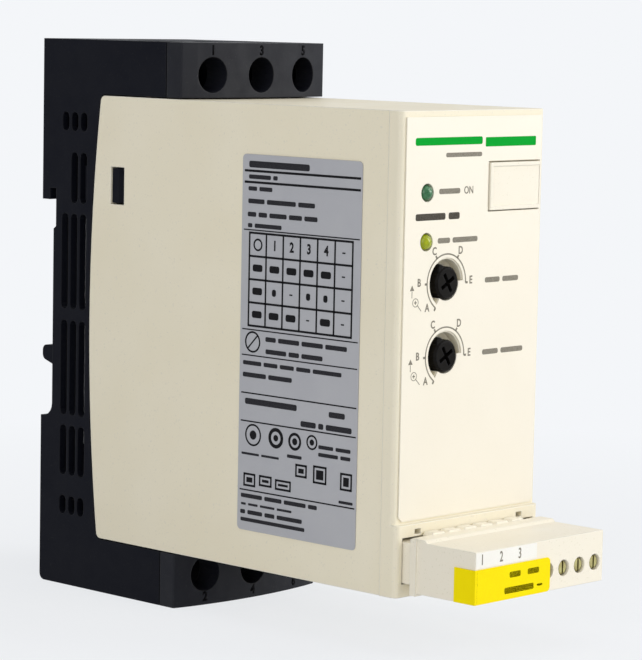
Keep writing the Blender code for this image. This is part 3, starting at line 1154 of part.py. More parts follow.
def main():
    clear_scene()
    black = make_material("black_plastic", (0.012, 0.012, 0.014), 0.55)
    cream = make_material("cream_plastic", (0.83, 0.79, 0.68), 0.5)
    film = make_material("cream_film", (0.86, 0.83, 0.74), 0.4)
    knob_black = make_material("knob_plastic", (0.008, 0.007, 0.006), 0.4)
    steel = make_material("zinc_steel", (0.62, 0.62, 0.6), 0.35, 1.0)
    copper = make_material("tinned_copper", (0.72, 0.66, 0.58), 0.35, 1.0)
    brass = make_material("nickel_brass", (0.5, 0.47, 0.28), 0.4, 1.0)
    aluminium = make_material("aluminium", (0.75, 0.76, 0.77), 0.4, 1.0)
    board = make_material("board_laminate", (0.03, 0.2, 0.08), 0.5)
    device_black = make_material("component_black", (0.02, 0.02, 0.022), 0.5)
    tape_yellow = make_material("coil_tape", (0.72, 0.55, 0.08), 0.5)
    green_lens = make_material("green_lens", (0.05, 0.22, 0.08), 0.2)
    amber_lens = make_material("yellow_green_lens", (0.5, 0.55, 0.0), 0.2)
    label_grey = make_material("label_grey", (0.4, 0.41, 0.45), 0.35)
    label_yellow = make_material("label_yellow", (1.0, 0.84, 0.0), 0.4)

    build_rear_housing(black)
    for side in ("line", "load"):
        build_cover(side, black)
        for i, x in enumerate(POLE_XS, start=1):
            build_terminal_screw(f"{side}_terminal_screw_{i}", side, x, steel)
            build_cage(f"{side}_cage_clamp_{i}", side, x, steel)
            build_bar(f"{side}_contact_bar_{i}", side, x, copper)
    build_clip(black)
    build_spring(steel)
    build_main_housing(cream)
    build_front_film(film)
    build_marker_plate(cream)
    build_led("power_led", LED_ZS[0], green_lens)
    build_led("full_voltage_led", LED_ZS[1], amber_lens)
    for name, z in (("start_time", DIAL_ZS[0]), ("initial_voltage", DIAL_ZS[1])):
        build_potentiometer(name + "_potentiometer", z, device_black)
        build_knob(name + "_knob", z, knob_black)
    build_boards(board)
    build_heat_sink(aluminium)
    build_power_parts(device_black, tape_yellow)
    build_header(cream)
    plug = build_plug(cream)
    for i, x in enumerate(PLUG_POLE_XS, start=1):
        build_plug_screw(f"plug_screw_{i}", x, plug, brass)
        build_plug_cage(f"plug_cage_clamp_{i}", x, plug, brass)
    build_rating_label(label_grey)
    build_plug_label(plug, label_yellow)


main()
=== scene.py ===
import math

import bmesh
import bpy
from mathutils import Matrix, Vector


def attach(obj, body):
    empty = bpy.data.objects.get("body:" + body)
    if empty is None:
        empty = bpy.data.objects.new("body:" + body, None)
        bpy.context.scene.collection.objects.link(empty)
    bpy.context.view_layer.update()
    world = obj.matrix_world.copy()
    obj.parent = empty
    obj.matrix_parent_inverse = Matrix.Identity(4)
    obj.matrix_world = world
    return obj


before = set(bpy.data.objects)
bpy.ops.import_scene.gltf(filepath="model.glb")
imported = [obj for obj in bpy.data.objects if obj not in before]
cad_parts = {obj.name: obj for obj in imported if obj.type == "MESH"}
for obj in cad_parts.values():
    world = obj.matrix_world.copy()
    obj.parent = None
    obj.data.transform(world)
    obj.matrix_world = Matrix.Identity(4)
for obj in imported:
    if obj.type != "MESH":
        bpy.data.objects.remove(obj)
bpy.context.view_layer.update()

mm = 0.001
middleDepth = 65.35  # mm from the rear face to y = 0

print("frame loaded:", len(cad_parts), "nodes")


# Materials: small helpers, then one function for each kind of finish

def newMaterial(name, color, roughness):
    material = bpy.data.materials.new(name)
    material.use_nodes = True
    material.diffuse_color = (*color, 1)
    shader = material.node_tree.nodes["Principled BSDF"]
    shader.inputs["Base Color"].default_value = (*color, 1)
    shader.inputs["Roughness"].default_value = roughness
    return material, shader


def addNode(material, kind, **settings):
    node = material.node_tree.nodes.new(kind)
    for key, value in settings.items():
        setattr(node, key, value)
    return node


def wire(material, source, target):
    material.node_tree.links.new(source, target)


def noiseOf(material, size, detail=2.0, stretch=(1, 1, 1)):
    # size is the pattern's grain in mm, stretch squeezes it along an axis
    place = addNode(material, "ShaderNodeTexCoord")
    mapping = addNode(material, "ShaderNodeMapping")
    mapping.inputs["Scale"].default_value = stretch
    noise = addNode(material, "ShaderNodeTexNoise")
    noise.inputs["Scale"].default_value = 1 / (size * mm)
    noise.inputs["Detail"].default_value = detail
    wire(material, place.outputs["Object"], mapping.inputs["Vector"])
    wire(material, mapping.outputs["Vector"], noise.inputs["Vector"])
    return noise.outputs["Fac"]


def spread(material, value, low, high, start=0.35, end=0.65):
    ramp = addNode(material, "ShaderNodeMapRange")
    ramp.inputs["From Min"].default_value = start
    ramp.inputs["From Max"].default_value = end
    ramp.inputs["To Min"].default_value = low
    ramp.inputs["To Max"].default_value = high
    wire(material, value, ramp.inputs["Value"])
    return ramp.outputs["Result"]


def blendColors(material, factor, first, second):
    # first and second are colours or sockets that carry one
    mix = addNode(material, "ShaderNodeMix", data_type="RGBA")
    wire(material, factor, mix.inputs["Factor"])
    for socket, color in ((mix.inputs["A"], first), (mix.inputs["B"], second)):
        if isinstance(color, tuple):
            socket.default_value = (*color, 1)
        else:
            wire(material, color, socket)
    return mix.outputs["Result"]


bevelSamples = 6


def softEdge(material, radius):
    bevel = addNode(material, "ShaderNodeBevel", samples=bevelSamples)
    bevel.inputs["Radius"].default_value = radius * mm
    return bevel.outputs["Normal"]


def edgeMask(material, radius, reach=0.06):
    # 1 along edges, 0 on flats, from how far the softened normal leans off the true one
    soft = softEdge(material, radius)
    true = addNode(material, "ShaderNodeNewGeometry")
    dot = addNode(material, "ShaderNodeVectorMath", operation="DOT_PRODUCT")
    wire(material, soft, dot.inputs[0])
    wire(material, true.outputs["Normal"], dot.inputs[1])
    return spread(material, dot.outputs["Value"], 1, 0, 1 - reach, 1)


def addBump(material, shader, height, depth, strength, normal):
    bump = addNode(material, "ShaderNodeBump")
    bump.inputs["Distance"].default_value = depth * mm
    bump.inputs["Strength"].default_value = strength
    wire(material, height, bump.inputs["Height"])
    wire(material, normal, bump.inputs["Normal"])
    wire(material, bump.outputs["Normal"], shader.inputs["Normal"])


# Sizes in the tables of textures are in mm, and dullShare is a share of the clouds' size.
# A detail is how many finer layers a noise has.
plasticTexture = {
    "coatRoughness": 0.2, "cloudDetail": 3, "speckDetail": 1, "speckStart": 0.66, "speckEnd": 0.74,
    "dullShare": 0.3, "dullDetail": 3, "dullSpread": 0.06, "grainDetail": 2, "grainStrength": 0.8,
}


def mouldedPlastic(name, finish):
    texture = plasticTexture
    material, shader = newMaterial(name, finish["color"], finish["roughness"])
    shader.inputs["Specular IOR Level"].default_value = finish["gloss"]
    shader.inputs["Coat Weight"].default_value = finish.get("coat", 0)
    shader.inputs["Coat Roughness"].default_value = texture["coatRoughness"]
    clouds = spread(material, noiseOf(material, finish["cloudSize"], texture["cloudDetail"]), 0, 1)
    tone = blendColors(material, clouds, finish["color"], finish["cloudColor"])
    specks = spread(material, noiseOf(material, finish["speckSize"], texture["speckDetail"]), 0, 1,
                    texture["speckStart"], texture["speckEnd"])
    tone = blendColors(material, specks, tone, finish["speckColor"])
    # blends to a lighter colour along every edge
    edgeShare = edgeMask(material, finish["edge"])
    tone = blendColors(material, edgeShare, tone, finish["edgeColor"])
    wire(material, tone, shader.inputs["Base Color"])
    patches = noiseOf(material, finish["cloudSize"] * texture["dullShare"], texture["dullDetail"])
    dull = spread(material, patches, finish["roughness"] - texture["dullSpread"],
                  finish["roughness"] + texture["dullSpread"])
    wire(material, dull, shader.inputs["Roughness"])
    grain = noiseOf(material, finish["grainSize"], texture["grainDetail"])
    addBump(material, shader, grain, finish["grainDepth"], texture["grainStrength"],
            softEdge(material, finish["edge"]))
    return material


metalTexture = {
    "tarnishDetail": 4, "lineDetail": 2, "smoother": 0.08, "rougher": 0.12, "lineStrength": 0.6, "edge": 0.12,
}


def platedMetal(name, finish):
    texture = metalTexture
    material, shader = newMaterial(name, finish["color"], finish["roughness"])
    shader.inputs["Metallic"].default_value = 1
    tarnish = spread(material, noiseOf(material, finish["tarnishSize"], texture["tarnishDetail"]), 0, 1)
    tone = blendColors(material, tarnish, finish["color"], finish["tarnishColor"])
    wire(material, tone, shader.inputs["Base Color"])
    lines = noiseOf(material, finish["lineSize"], texture["lineDetail"], finish["stretch"])
    dull = spread(material, lines, finish["roughness"] - texture["smoother"],
                  finish["roughness"] + texture["rougher"])
    wire(material, dull, shader.inputs["Roughness"])
    addBump(material, shader, lines, finish["lineDepth"], texture["lineStrength"],
            softEdge(material, texture["edge"]))
    return material


def circuitBoard(name, finish):
    material, shader = newMaterial(name, finish["maskColor"], finish["roughness"])
    place = addNode(material, "ShaderNodeTexCoord")
    turn = addNode(material, "ShaderNodeMapping")
    turn.inputs["Rotation"].default_value = (math.radians(90), 0, 0)
    tracks = addNode(material, "ShaderNodeTexBrick")
    tracks.inputs["Scale"].default_value = 1 / (finish["trackPitch"] * mm)
    tracks.inputs["Mortar Size"].default_value = finish["trackGap"]
    wire(material, place.outputs["Object"], turn.inputs["Vector"])
    wire(material, turn.outputs["Vector"], tracks.inputs["Vector"])
    tone = blendColors(material, tracks.outputs["Fac"], finish["maskColor"], finish["trackColor"])
    weave = spread(material, noiseOf(material, finish["weaveSize"]), 0, finish["weaveShare"])
    wire(material, blendColors(material, weave, tone, finish["weaveColor"]), shader.inputs["Base Color"])
    addBump(material, shader, tracks.outputs["Fac"], finish["trackHeight"], finish["trackStrength"],
            softEdge(material, finish["edge"]))
    return material


def windingTape(name, finish):
    material, shader = newMaterial(name, finish["color"], finish["roughness"])
    place = addNode(material, "ShaderNodeTexCoord")
    turns = addNode(material, "ShaderNodeTexWave", bands_direction="Z")
    turns.inputs["Scale"].default_value = 1 / (finish["turnPitch"] * mm)
    turns.inputs["Distortion"].default_value = finish["slack"]
    wire(material, place.outputs["Object"], turns.inputs["Vector"])
    wire(material, blendColors(material, turns.outputs["Fac"], finish["color"], finish["shadeColor"]),
         shader.inputs["Base Color"])
    addBump(material, shader, turns.outputs["Fac"], finish["turnHeight"], finish["turnStrength"],
            softEdge(material, finish["edge"]))
    return material


lensTexture = {
    "roughness": 0.12, "bend": 1.52, "gloss": 0.3, "coat": 0.1, "coatRoughness": 0.06,
    "hazeSize": 0.9, "hazeDetail": 3, "dullSize": 0.25, "smoothest": 0.08, "roughest": 0.2,
}


def tintedLens(name, finish):
    texture = lensTexture
    material, shader = newMaterial(name, finish["color"], texture["roughness"])
    shader.inputs["IOR"].default_value = texture["bend"]
    shader.inputs["Transmission Weight"].default_value = finish["clear"]
    shader.inputs["Specular IOR Level"].default_value = texture["gloss"]
    shader.inputs["Coat Weight"].default_value = texture["coat"]
    shader.inputs["Coat Roughness"].default_value = texture["coatRoughness"]
    haze = spread(material, noiseOf(material, texture["hazeSize"], texture["hazeDetail"]), 0, 1)
    wire(material, blendColors(material, haze, finish["color"], finish["deepColor"]),
         shader.inputs["Base Color"])
    dull = spread(material, noiseOf(material, texture["dullSize"]), texture["smoothest"], texture["roughest"])
    wire(material, dull, shader.inputs["Roughness"])
    return material


labelTexture = {
    "cloudSize": 9, "cloudDetail": 3, "fibreSize": 0.35, "fibreStretch": (1, 6, 1), "fibreShare": 0.5,
    "dullSize": 3, "dullDetail": 3, "smoother": 0.05, "rougher": 0.07,
    "waveSize": 1.6, "waveDetail": 3, "waveDepth": 0.01, "waveStrength": 0.5, "edge": 0.1,
}


def stuckLabel(name, finish):
    texture = labelTexture
    material, shader = newMaterial(name, finish["color"], finish["roughness"])
    shader.inputs["Specular IOR Level"].default_value = finish["gloss"]
    clouds = spread(material, noiseOf(material, texture["cloudSize"], texture["cloudDetail"]), 0, 1)
    threads = noiseOf(material, texture["fibreSize"], stretch=texture["fibreStretch"])
    fibres = spread(material, threads, 0, texture["fibreShare"])
    tone = blendColors(material, clouds, finish["color"], finish["cloudColor"])
    wire(material, blendColors(material, fibres, tone, finish["fibreColor"]), shader.inputs["Base Color"])
    patches = noiseOf(material, texture["dullSize"], texture["dullDetail"])
    dull = spread(material, patches, finish["roughness"] - texture["smoother"],
                  finish["roughness"] + texture["rougher"])
    wire(material, dull, shader.inputs["Roughness"])
    waves = noiseOf(material, texture["waveSize"], texture["waveDetail"])
    addBump(material, shader, waves, texture["waveDepth"], texture["waveStrength"],
            softEdge(material, texture["edge"]))
    return material


inkTexture = {
    "roughness": 0.5, "gloss": 0.03, "wearSize": 0.22, "wearDetail": 3, "wearStart": 0.3, "wearEnd": 0.75,
    "dullSize": 0.5, "smoothest": 0.4, "roughest": 0.6,
}


def printingInk(name, finish):
    texture = inkTexture
    material, shader = newMaterial(name, finish["color"], texture["roughness"])
    shader.inputs["Specular IOR Level"].default_value = texture["gloss"]
    wear = spread(material, noiseOf(material, texture["wearSize"], texture["wearDetail"]), 0, 1,
                  texture["wearStart"], texture["wearEnd"])
    wire(material, blendColors(material, wear, finish["color"], finish["thinColor"]),
         shader.inputs["Base Color"])
    dull = spread(material, noiseOf(material, texture["dullSize"]), texture["smoothest"], texture["roughest"])
    wire(material, dull, shader.inputs["Roughness"])
    return material


# Colours are linear. Sizes and depths are in mm.
blackFinish = {
    "color": (0.0047, 0.0054, 0.0098), "cloudColor": (0.0060, 0.0067, 0.0112),
    "speckColor": (0.011, 0.012, 0.015), "edgeColor": (0.015, 0.016, 0.019),
    "roughness": 0.50, "gloss": 0.06, "cloudSize": 14, "speckSize": 0.45,
    "grainSize": 0.28, "grainDepth": 0.02, "edge": 0.3,
}
coverFinish = dict(blackFinish, gloss=0.19, roughness=0.52)
creamFinish = {
    "color": (0.880, 0.815, 0.640), "cloudColor": (0.900, 0.840, 0.675),
    "speckColor": (0.820, 0.770, 0.630), "edgeColor": (0.930, 0.900, 0.800),
    "roughness": 0.48, "gloss": 0.35, "cloudSize": 22, "speckSize": 0.5,
    "grainSize": 0.3, "grainDepth": 0.015, "edge": 0.35,
}
plugFinish = dict(creamFinish, color=(0.900, 0.845, 0.715), cloudColor=(0.910, 0.858, 0.735),
                  roughness=0.42, grainDepth=0.008, edge=0.25)
filmFinish = dict(creamFinish, color=(0.905, 0.850, 0.725), cloudColor=(0.915, 0.862, 0.742),
                  speckColor=(0.88, 0.83, 0.70), roughness=0.36, gloss=0.45, coat=0.15,
                  grainSize=0.5, grainDepth=0.006, edge=0.12)
knobFinish = dict(blackFinish, color=(0.006, 0.005, 0.004), cloudColor=(0.008, 0.007, 0.006),
                  roughness=0.36, gloss=0.05, cloudSize=3, grainSize=0.2, grainDepth=0.006, edge=0.2)
componentFinish = dict(blackFinish, color=(0.018, 0.018, 0.02), gloss=0.3)
zincFinish = {
    "color": (0.60, 0.60, 0.58), "tarnishColor": (0.42, 0.41, 0.38), "tarnishSize": 1.5,
    "roughness": 0.34, "lineSize": 0.2, "stretch": (1, 1, 1), "lineDepth": 0.01,
}
springFinish = dict(zincFinish, color=(0.50, 0.50, 0.50), stretch=(3, 3, 0.4))
copperFinish = dict(zincFinish, color=(0.70, 0.62, 0.54), tarnishColor=(0.52, 0.36, 0.24))
brassFinish = dict(zincFinish, color=(0.46, 0.43, 0.20), tarnishColor=(0.34, 0.30, 0.13), roughness=0.46)
aluminiumFinish = dict(zincFinish, color=(0.70, 0.71, 0.72), tarnishColor=(0.56, 0.57, 0.58),
                       stretch=(6, 6, 0.15), lineDepth=0.02)
boardFinish = {
    "maskColor": (0.012, 0.11, 0.045), "trackColor": (0.03, 0.19, 0.07),
    "weaveColor": (0.02, 0.09, 0.035), "trackPitch": 2.5, "trackGap": 0.06, "trackHeight": 0.03,
    "trackStrength": 0.7, "weaveSize": 0.4, "weaveShare": 0.25, "roughness": 0.4, "edge": 0.1,
}
tapeFinish = {
    "color": (0.70, 0.50, 0.06), "shadeColor": (0.45, 0.30, 0.03), "turnPitch": 0.8, "turnHeight": 0.05,
    "turnStrength": 0.5, "slack": 0.4, "roughness": 0.35, "edge": 0.3,
}
greenLensFinish = {"color": (0.09, 0.36, 0.15), "deepColor": (0.03, 0.20, 0.07), "clear": 0.45}
yellowLensFinish = {"color": (0.43, 0.50, 0.0), "deepColor": (0.31, 0.37, 0.0), "clear": 0.1}
greyLabelFinish = {
    "color": (0.455, 0.462, 0.500), "cloudColor": (0.480, 0.488, 0.520),
    "fibreColor": (0.430, 0.438, 0.475), "roughness": 0.4, "gloss": 0.4,
}
yellowLabelFinish = {
    "color": (1.0, 0.80, 0.0), "cloudColor": (1.0, 0.84, 0.0),
    "fibreColor": (0.96, 0.76, 0.0), "roughness": 0.4, "gloss": 0.06,
}
stripFinish = {
    "color": (0.93, 0.92, 0.87), "cloudColor": (0.95, 0.94, 0.90),
    "fibreColor": (0.90, 0.89, 0.84), "roughness": 0.45, "gloss": 0.3,
}
inkFinishes = {
    "greyInk": {"color": (0.20, 0.185, 0.15), "thinColor": (0.33, 0.31, 0.26)},
    "darkInk": {"color": (0.008, 0.008, 0.009), "thinColor": (0.022, 0.022, 0.025)},
    "markInk": {"color": (0.0015, 0.0015, 0.002), "thinColor": (0.003, 0.003, 0.004)},
    "greenInk": {"color": (0.0, 0.36, 0.028), "thinColor": (0.001, 0.385, 0.034)},
    "brownInk": {"color": (0.30, 0.19, 0.0), "thinColor": (0.45, 0.31, 0.0)},
    "coalInk": {"color": (0.055, 0.050, 0.042), "thinColor": (0.12, 0.11, 0.09)},
    "labelInk": {"color": (0.018, 0.018, 0.021), "thinColor": (0.05, 0.05, 0.058)},
}

finishes = {
    "blackMoulding": mouldedPlastic("blackMoulding", blackFinish),
    "coverMoulding": mouldedPlastic("coverMoulding", coverFinish),
    "creamMoulding": mouldedPlastic("creamMoulding", creamFinish),
    "plugMoulding": mouldedPlastic("plugMoulding", plugFinish),
    "frontFilm": mouldedPlastic("frontFilm", filmFinish),
    "knobMoulding": mouldedPlastic("knobMoulding", knobFinish),
    "componentMoulding": mouldedPlastic("componentMoulding", componentFinish),
    "zincPlate": platedMetal("zincPlate", zincFinish),
    "springWire": platedMetal("springWire", springFinish),
    "tinnedCopper": platedMetal("tinnedCopper", copperFinish),
    "dullBrass": platedMetal("dullBrass", brassFinish),
    "sinkAluminium": platedMetal("sinkAluminium", aluminiumFinish),
    "boardLaminate": circuitBoard("boardLaminate", boardFinish),
    "windingTape": windingTape("windingTape", tapeFinish),
    "greenLens": tintedLens("greenLens", greenLensFinish),
    "yellowLens": tintedLens("yellowLens", yellowLensFinish),
    "greyLabel": stuckLabel("greyLabel", greyLabelFinish),
    "yellowLabel": stuckLabel("yellowLabel", yellowLabelFinish),
    "stripWhite": stuckLabel("stripWhite", stripFinish),
}
for inkName, ink in inkFinishes.items():
    finishes[inkName] = printingInk(inkName, ink)

nodeFinishes = {
    "rear_housing": "blackMoulding", "line_terminal_cover": "coverMoulding",
    "load_terminal_cover": "coverMoulding", "rail_clip": "blackMoulding",
    "rail_clip_spring": "springWire", "main_housing": "creamMoulding", "front_film": "frontFilm",
    "marker_plate": "plugMoulding", "power_led": "greenLens", "full_voltage_led": "yellowLens",
    "start_time_potentiometer": "componentMoulding", "initial_voltage_potentiometer": "componentMoulding",
    "start_time_knob": "knobMoulding", "initial_voltage_knob": "knobMoulding",
    "power_board": "boardLaminate", "front_board": "boardLaminate", "control_board": "boardLaminate",
    "heat_sink": "sinkAluminium", "thyristor_module_lower": "componentMoulding",
    "thyristor_module_upper": "componentMoulding", "bypass_relay": "componentMoulding",
    "control_transformer": "windingTape", "plug_header": "creamMoulding",
    "control_plug": "plugMoulding", "rating_label": "greyLabel", "plug_label": "yellowLabel",
}
for side in ("line", "load"):
    for pole in (1, 2, 3):
        nodeFinishes[f"{side}_terminal_screw_{pole}"] = "zincPlate"
        nodeFinishes[f"{side}_cage_clamp_{pole}"] = "zincPlate"
        nodeFinishes[f"{side}_contact_bar_{pole}"] = "tinnedCopper"
for pole in range(1, 9):
    nodeFinishes[f"plug_screw_{pole}"] = "dullBrass"
    nodeFinishes[f"plug_cage_clamp_{pole}"] = "dullBrass"

for nodeName, finishName in nodeFinishes.items():
    node = bpy.data.objects[nodeName]
    for materialSlot in node.material_slots:
        materialSlot.material = finishes[finishName]
print("finishes on", len(nodeFinishes), "nodes")


# Flat prints. Each shape is drawn in the XY plane in millimetres, then the whole print gets a small
# thickness and is laid on its face: local x runs to the right, y runs up and z runs out of the face.

printThickness = 0.02
printLift = 0.005      # keeps a print's back off the face that it lies on
cornerSteps = 3
weldDistance = 0.0001
capitalShare = 0.73    # height of a capital as a share of the text size
letterSteps = 3
roundSteps = 24        # corners of small rings and discs


def clearSelection():
    if bpy.context.object is not None and bpy.context.object.mode != "OBJECT":
        bpy.ops.object.mode_set(mode="OBJECT")
    bpy.ops.object.select_all(action="DESELECT")


def flatBar(left, right, low, high, corner=0.0):
    clearSelection()
    bpy.ops.mesh.primitive_plane_add(size=1, location=((left + right) / 2, (low + high) / 2, 0))
    bar = bpy.context.object
    bar.scale = (right - left, high - low, 1)
    bpy.ops.object.transform_apply(location=True, rotation=True, scale=True)
    if corner > 0:
        bpy.ops.object.mode_set(mode="EDIT")
        bpy.ops.mesh.select_all(action="SELECT")
        bpy.ops.mesh.bevel(offset=corner, offset_type="OFFSET", segments=cornerSteps, affect="VERTICES")
        bpy.ops.object.mode_set(mode="OBJECT")
    return bar


def flatStroke(start, end, width):
    # straight line between two points
    run = Vector(end) - Vector(start)
    stroke = flatBar(-run.length / 2, run.length / 2, -width / 2, width / 2)
    stroke.rotation_euler.z = math.atan2(run.y, run.x)
    stroke.location = ((start[0] + end[0]) / 2, (start[1] + end[1]) / 2, 0)
    bpy.ops.object.transform_apply(location=True, rotation=True, scale=True)
    return stroke


def flatArc(center, radius, width, start, end, steps=48):
    # band of a ring, angles in degrees, turned from start to end
    clearSelection()
    bpy.ops.mesh.primitive_plane_add(size=1)
    band = bpy.context.object
    startAngle = math.radians(start)
    bpy.ops.object.mode_set(mode="EDIT")
    shape = bmesh.from_edit_mesh(band.data)
    shape.edges.ensure_lookup_table()
    edge = shape.edges[0]
    for index, vertex in enumerate(edge.verts):
        reach = radius + (index - 0.5) * width
        vertex.co = (center[0] + reach * math.cos(startAngle), center[1] + reach * math.sin(startAngle), 0)
    for vertex in [v for v in shape.verts if v not in edge.verts]:
        shape.verts.remove(vertex)
    for item in list(shape.verts) + list(shape.edges):
        item.select = True
    shape.select_flush(True)
    bmesh.update_edit_mesh(band.data)
    bpy.ops.mesh.spin(steps=steps, angle=math.radians(start - end), center=(*center, 0), axis=(0, 0, 1))
    bpy.ops.mesh.select_all(action="SELECT")
    bpy.ops.mesh.remove_doubles(threshold=weldDistance)
    bpy.ops.object.mode_set(mode="OBJECT")
    return band


def flatDisc(center, radius, corners=roundSteps):
    clearSelection()
    bpy.ops.mesh.primitive_circle_add(vertices=corners, radius=radius, fill_type="NGON",
                                      location=(*center, 0))
    bpy.ops.object.transform_apply(location=True, rotation=True, scale=True)
    return bpy.context.object


def flatSign(text, center, height, squeeze=0.85, bold=0.02):
    # a letter or number, drawn as text and turned into a mesh; bold thickens its strokes
    clearSelection()
    bpy.ops.object.text_add(location=(0, 0, 0))
    sign = bpy.context.object
    sign.data.body = text
    sign.data.align_x = "CENTER"
    sign.data.align_y = "CENTER"
    sign.data.size = height / capitalShare
    sign.data.resolution_u = letterSteps
    sign.data.offset = bold * height
    bpy.ops.object.convert(target="MESH")
    sign = bpy.context.object
    sign.scale = (squeeze, 1, 1)
    sign.location = (*center, 0)
    bpy.ops.object.transform_apply(location=True, rotation=True, scale=True)
    return sign


frontFace = Matrix.Rotation(math.radians(90), 4, "X")
leftFace = Matrix(((0, 0, -1, 0), (-1, 0, 0, 0), (0, 1, 0, 0), (0, 0, 0, 1)))


def layPrint(name, shapes, face, height, ink, body):
    # height is the face's distance from the origin along its normal, in mm
    clearSelection()
    for shape in shapes:
        shape.select_set(True)
    bpy.context.view_layer.objects.active = shapes[0]
    if len(shapes) > 1:
        bpy.ops.object.join()
    printed = bpy.context.object
    printed.name = name
    printed.data.name = name
    bpy.ops.object.mode_set(mode="EDIT")
    bpy.ops.mesh.select_all(action="SELECT")
    bpy.ops.mesh.normals_make_consistent(inside=False)
    bpy.ops.mesh.extrude_region_move(TRANSFORM_OT_translate={"value": (0, 0, printThickness)})
    bpy.ops.mesh.select_all(action="SELECT")
    bpy.ops.mesh.normals_make_consistent(inside=False)
    bpy.ops.object.mode_set(mode="OBJECT")
    printed.matrix_world = (face @ Matrix.Translation((0, 0, height * mm))
                            @ Matrix.Scale(mm, 4))
    bpy.ops.object.transform_apply(location=True, rotation=True, scale=True)
    printed.data.materials.clear()
    printed.data.materials.append(finishes[ink])
    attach(printed, body)


# Front film: dial rings with their letters, turning signs, stripe and plain bars in place of words
filmDepth = 110.3      # front of the film, from the rear face
filmHeight = filmDepth - middleDepth + printLift

dialPrint = {
    "x": -8.2, "centers": (76.3, 61.2), "radius": 5.95, "line": 0.3, "start": 237, "end": -2,
    "ticks": (237, 180, 121, 57, -2), "tickLength": 0.7, "tickLine": 0.45,
    "letters": {"A": (-5.8, -4.9), "B": (-8.4, 0.35), "C": (-3.9, 6.6), "D": (4.2, 6.5), "E": (7.6, 0.2)},
    "letterHeight": 1.65, "letterSqueeze": 0.85, "letterBold": 0.035,
}
turningSign = {     # an arrow over a small ringed cross with a handle
    "place": (-9.4, -3.6), "arrowAside": -1.1, "arrowRise": -0.75, "arrowSize": 0.75, "arrowCorners": 3,
    "stemTop": -1.2, "stemFoot": 1.0, "line": 0.16, "ringRadius": 0.85, "ringLine": 0.14,
    "cross": 0.4, "crossLine": 0.2, "handleStart": 0.6, "handleEnd": 1.8,
}
for index, z in enumerate(dialPrint["centers"]):
    x = dialPrint["x"]
    shapes = [flatArc((x, z), dialPrint["radius"], dialPrint["line"], dialPrint["start"], dialPrint["end"])]
    for angle in dialPrint["ticks"]:
        ahead = Vector((math.cos(math.radians(angle)), math.sin(math.radians(angle))))
        root = Vector((x, z)) + ahead * dialPrint["radius"]
        shapes.append(flatStroke(root, root + ahead * dialPrint["tickLength"], dialPrint["tickLine"]))
    for letter, (aside, above) in dialPrint["letters"].items():
        shapes.append(flatSign(letter, (x + aside, z + above), dialPrint["letterHeight"],
                               dialPrint["letterSqueeze"], dialPrint["letterBold"]))
    signX, signZ = x + turningSign["place"][0], z + turningSign["place"][1]
    arrowX, cross = signX + turningSign["arrowAside"], turningSign["cross"]
    near, far = turningSign["handleStart"], turningSign["handleEnd"]
    shapes.append(flatDisc((arrowX, z + turningSign["arrowRise"]), turningSign["arrowSize"],
                           turningSign["arrowCorners"]))
    shapes.append(flatStroke((arrowX, z + turningSign["stemTop"]), (arrowX, signZ + turningSign["stemFoot"]),
                             turningSign["line"]))
    shapes.append(flatArc((signX, signZ), turningSign["ringRadius"], turningSign["ringLine"], 0, 360,
                          roundSteps))
    shapes.append(flatStroke((signX - cross, signZ), (signX + cross, signZ), turningSign["crossLine"]))
    shapes.append(flatStroke((signX, signZ - cross), (signX, signZ + cross), turningSign["crossLine"]))
    shapes.append(flatStroke((signX + near, signZ - near), (signX + far, signZ - far), turningSign["line"]))
    layPrint(f"dialPrint_{index + 1}", shapes, frontFace, filmHeight, "greyInk", "housing")

# Each bar is left, right, low and high, and one that stands alone has its corner's size as well
wordCorner = 0.4
stripe = (3.1, 19.3, 104.05, 106.0, 0.25)
layPrint("frontStripe", [flatBar(*stripe)], frontFace, filmHeight, "greenInk", "housing")

legendFields = (
    (-11.1, -4.6, 94.6, 95.7), (-11.2, -7.4, 84.5, 85.6), (-6.6, 1.2, 84.5, 85.6),
    (3.9, 8.6, 75.7, 76.8), (9.5, 14.6, 75.7, 76.8), (3.6, 8.6, 60.6, 61.7), (9.5, 16.6, 60.6, 61.7),
)
onSign = {"place": (-1.9, 95.15), "height": 1.6}
shapes = [flatBar(*field, corner=wordCorner) for field in legendFields]
shapes.append(flatSign("ON", onSign["place"], onSign["height"]))
layPrint("frontLegends", shapes, frontFace, filmHeight, "greyInk", "housing")

nameFields = ((-18.1, -9.0, 89.35, 90.75), (-8.0, -4.6, 89.35, 90.75))
layPrint("nameFields", [flatBar(*field, corner=wordCorner) for field in nameFields],
         frontFace, filmHeight, "coalInk", "housing")
headField = (-18.6, 2.1, 104.6, 106.2, 0.45)
layPrint("headField", [flatBar(*headField)], frontFace, filmHeight, "greenInk", "housing")
headFieldSmall = (-9.2, 2.0, 102.1, 103.0, 0.35)
layPrint("headFieldSmall", [flatBar(*headFieldSmall)],
         frontFace, filmHeight, "greyInk", "housing")
print("front print laid")


# Numbers of the power terminals, turned to the bow of the covers
terminalMarks = {
    "poles": (-14.0, 0.0, 14.0), "edge": 45.1, "bow": 2.3, "half": 22.2,
    "height": 2.1, "squeeze": 0.9, "bold": 0.06, "lift": 0.006, "rows": ((122.3, "135"), (1.75, "246")),
}
for z, digits in terminalMarks["rows"]:
    for x, digit in zip(terminalMarks["poles"], digits):
        share = x / terminalMarks["half"]
        depth = terminalMarks["edge"] + terminalMarks["bow"] * (1 - share ** 2)
        lean = math.atan(2 * terminalMarks["bow"] * share / terminalMarks["half"])
        face = (Matrix.Translation((x * mm, (middleDepth - depth) * mm, z * mm))
                @ Matrix.Rotation(lean, 4, "Z") @ frontFace)
        number = flatSign(digit, (0, 0), terminalMarks["height"], terminalMarks["squeeze"],
                          terminalMarks["bold"])
        layPrint(f"terminalNumber_{digit}", [number], face, terminalMarks["lift"], "markInk", "housing")
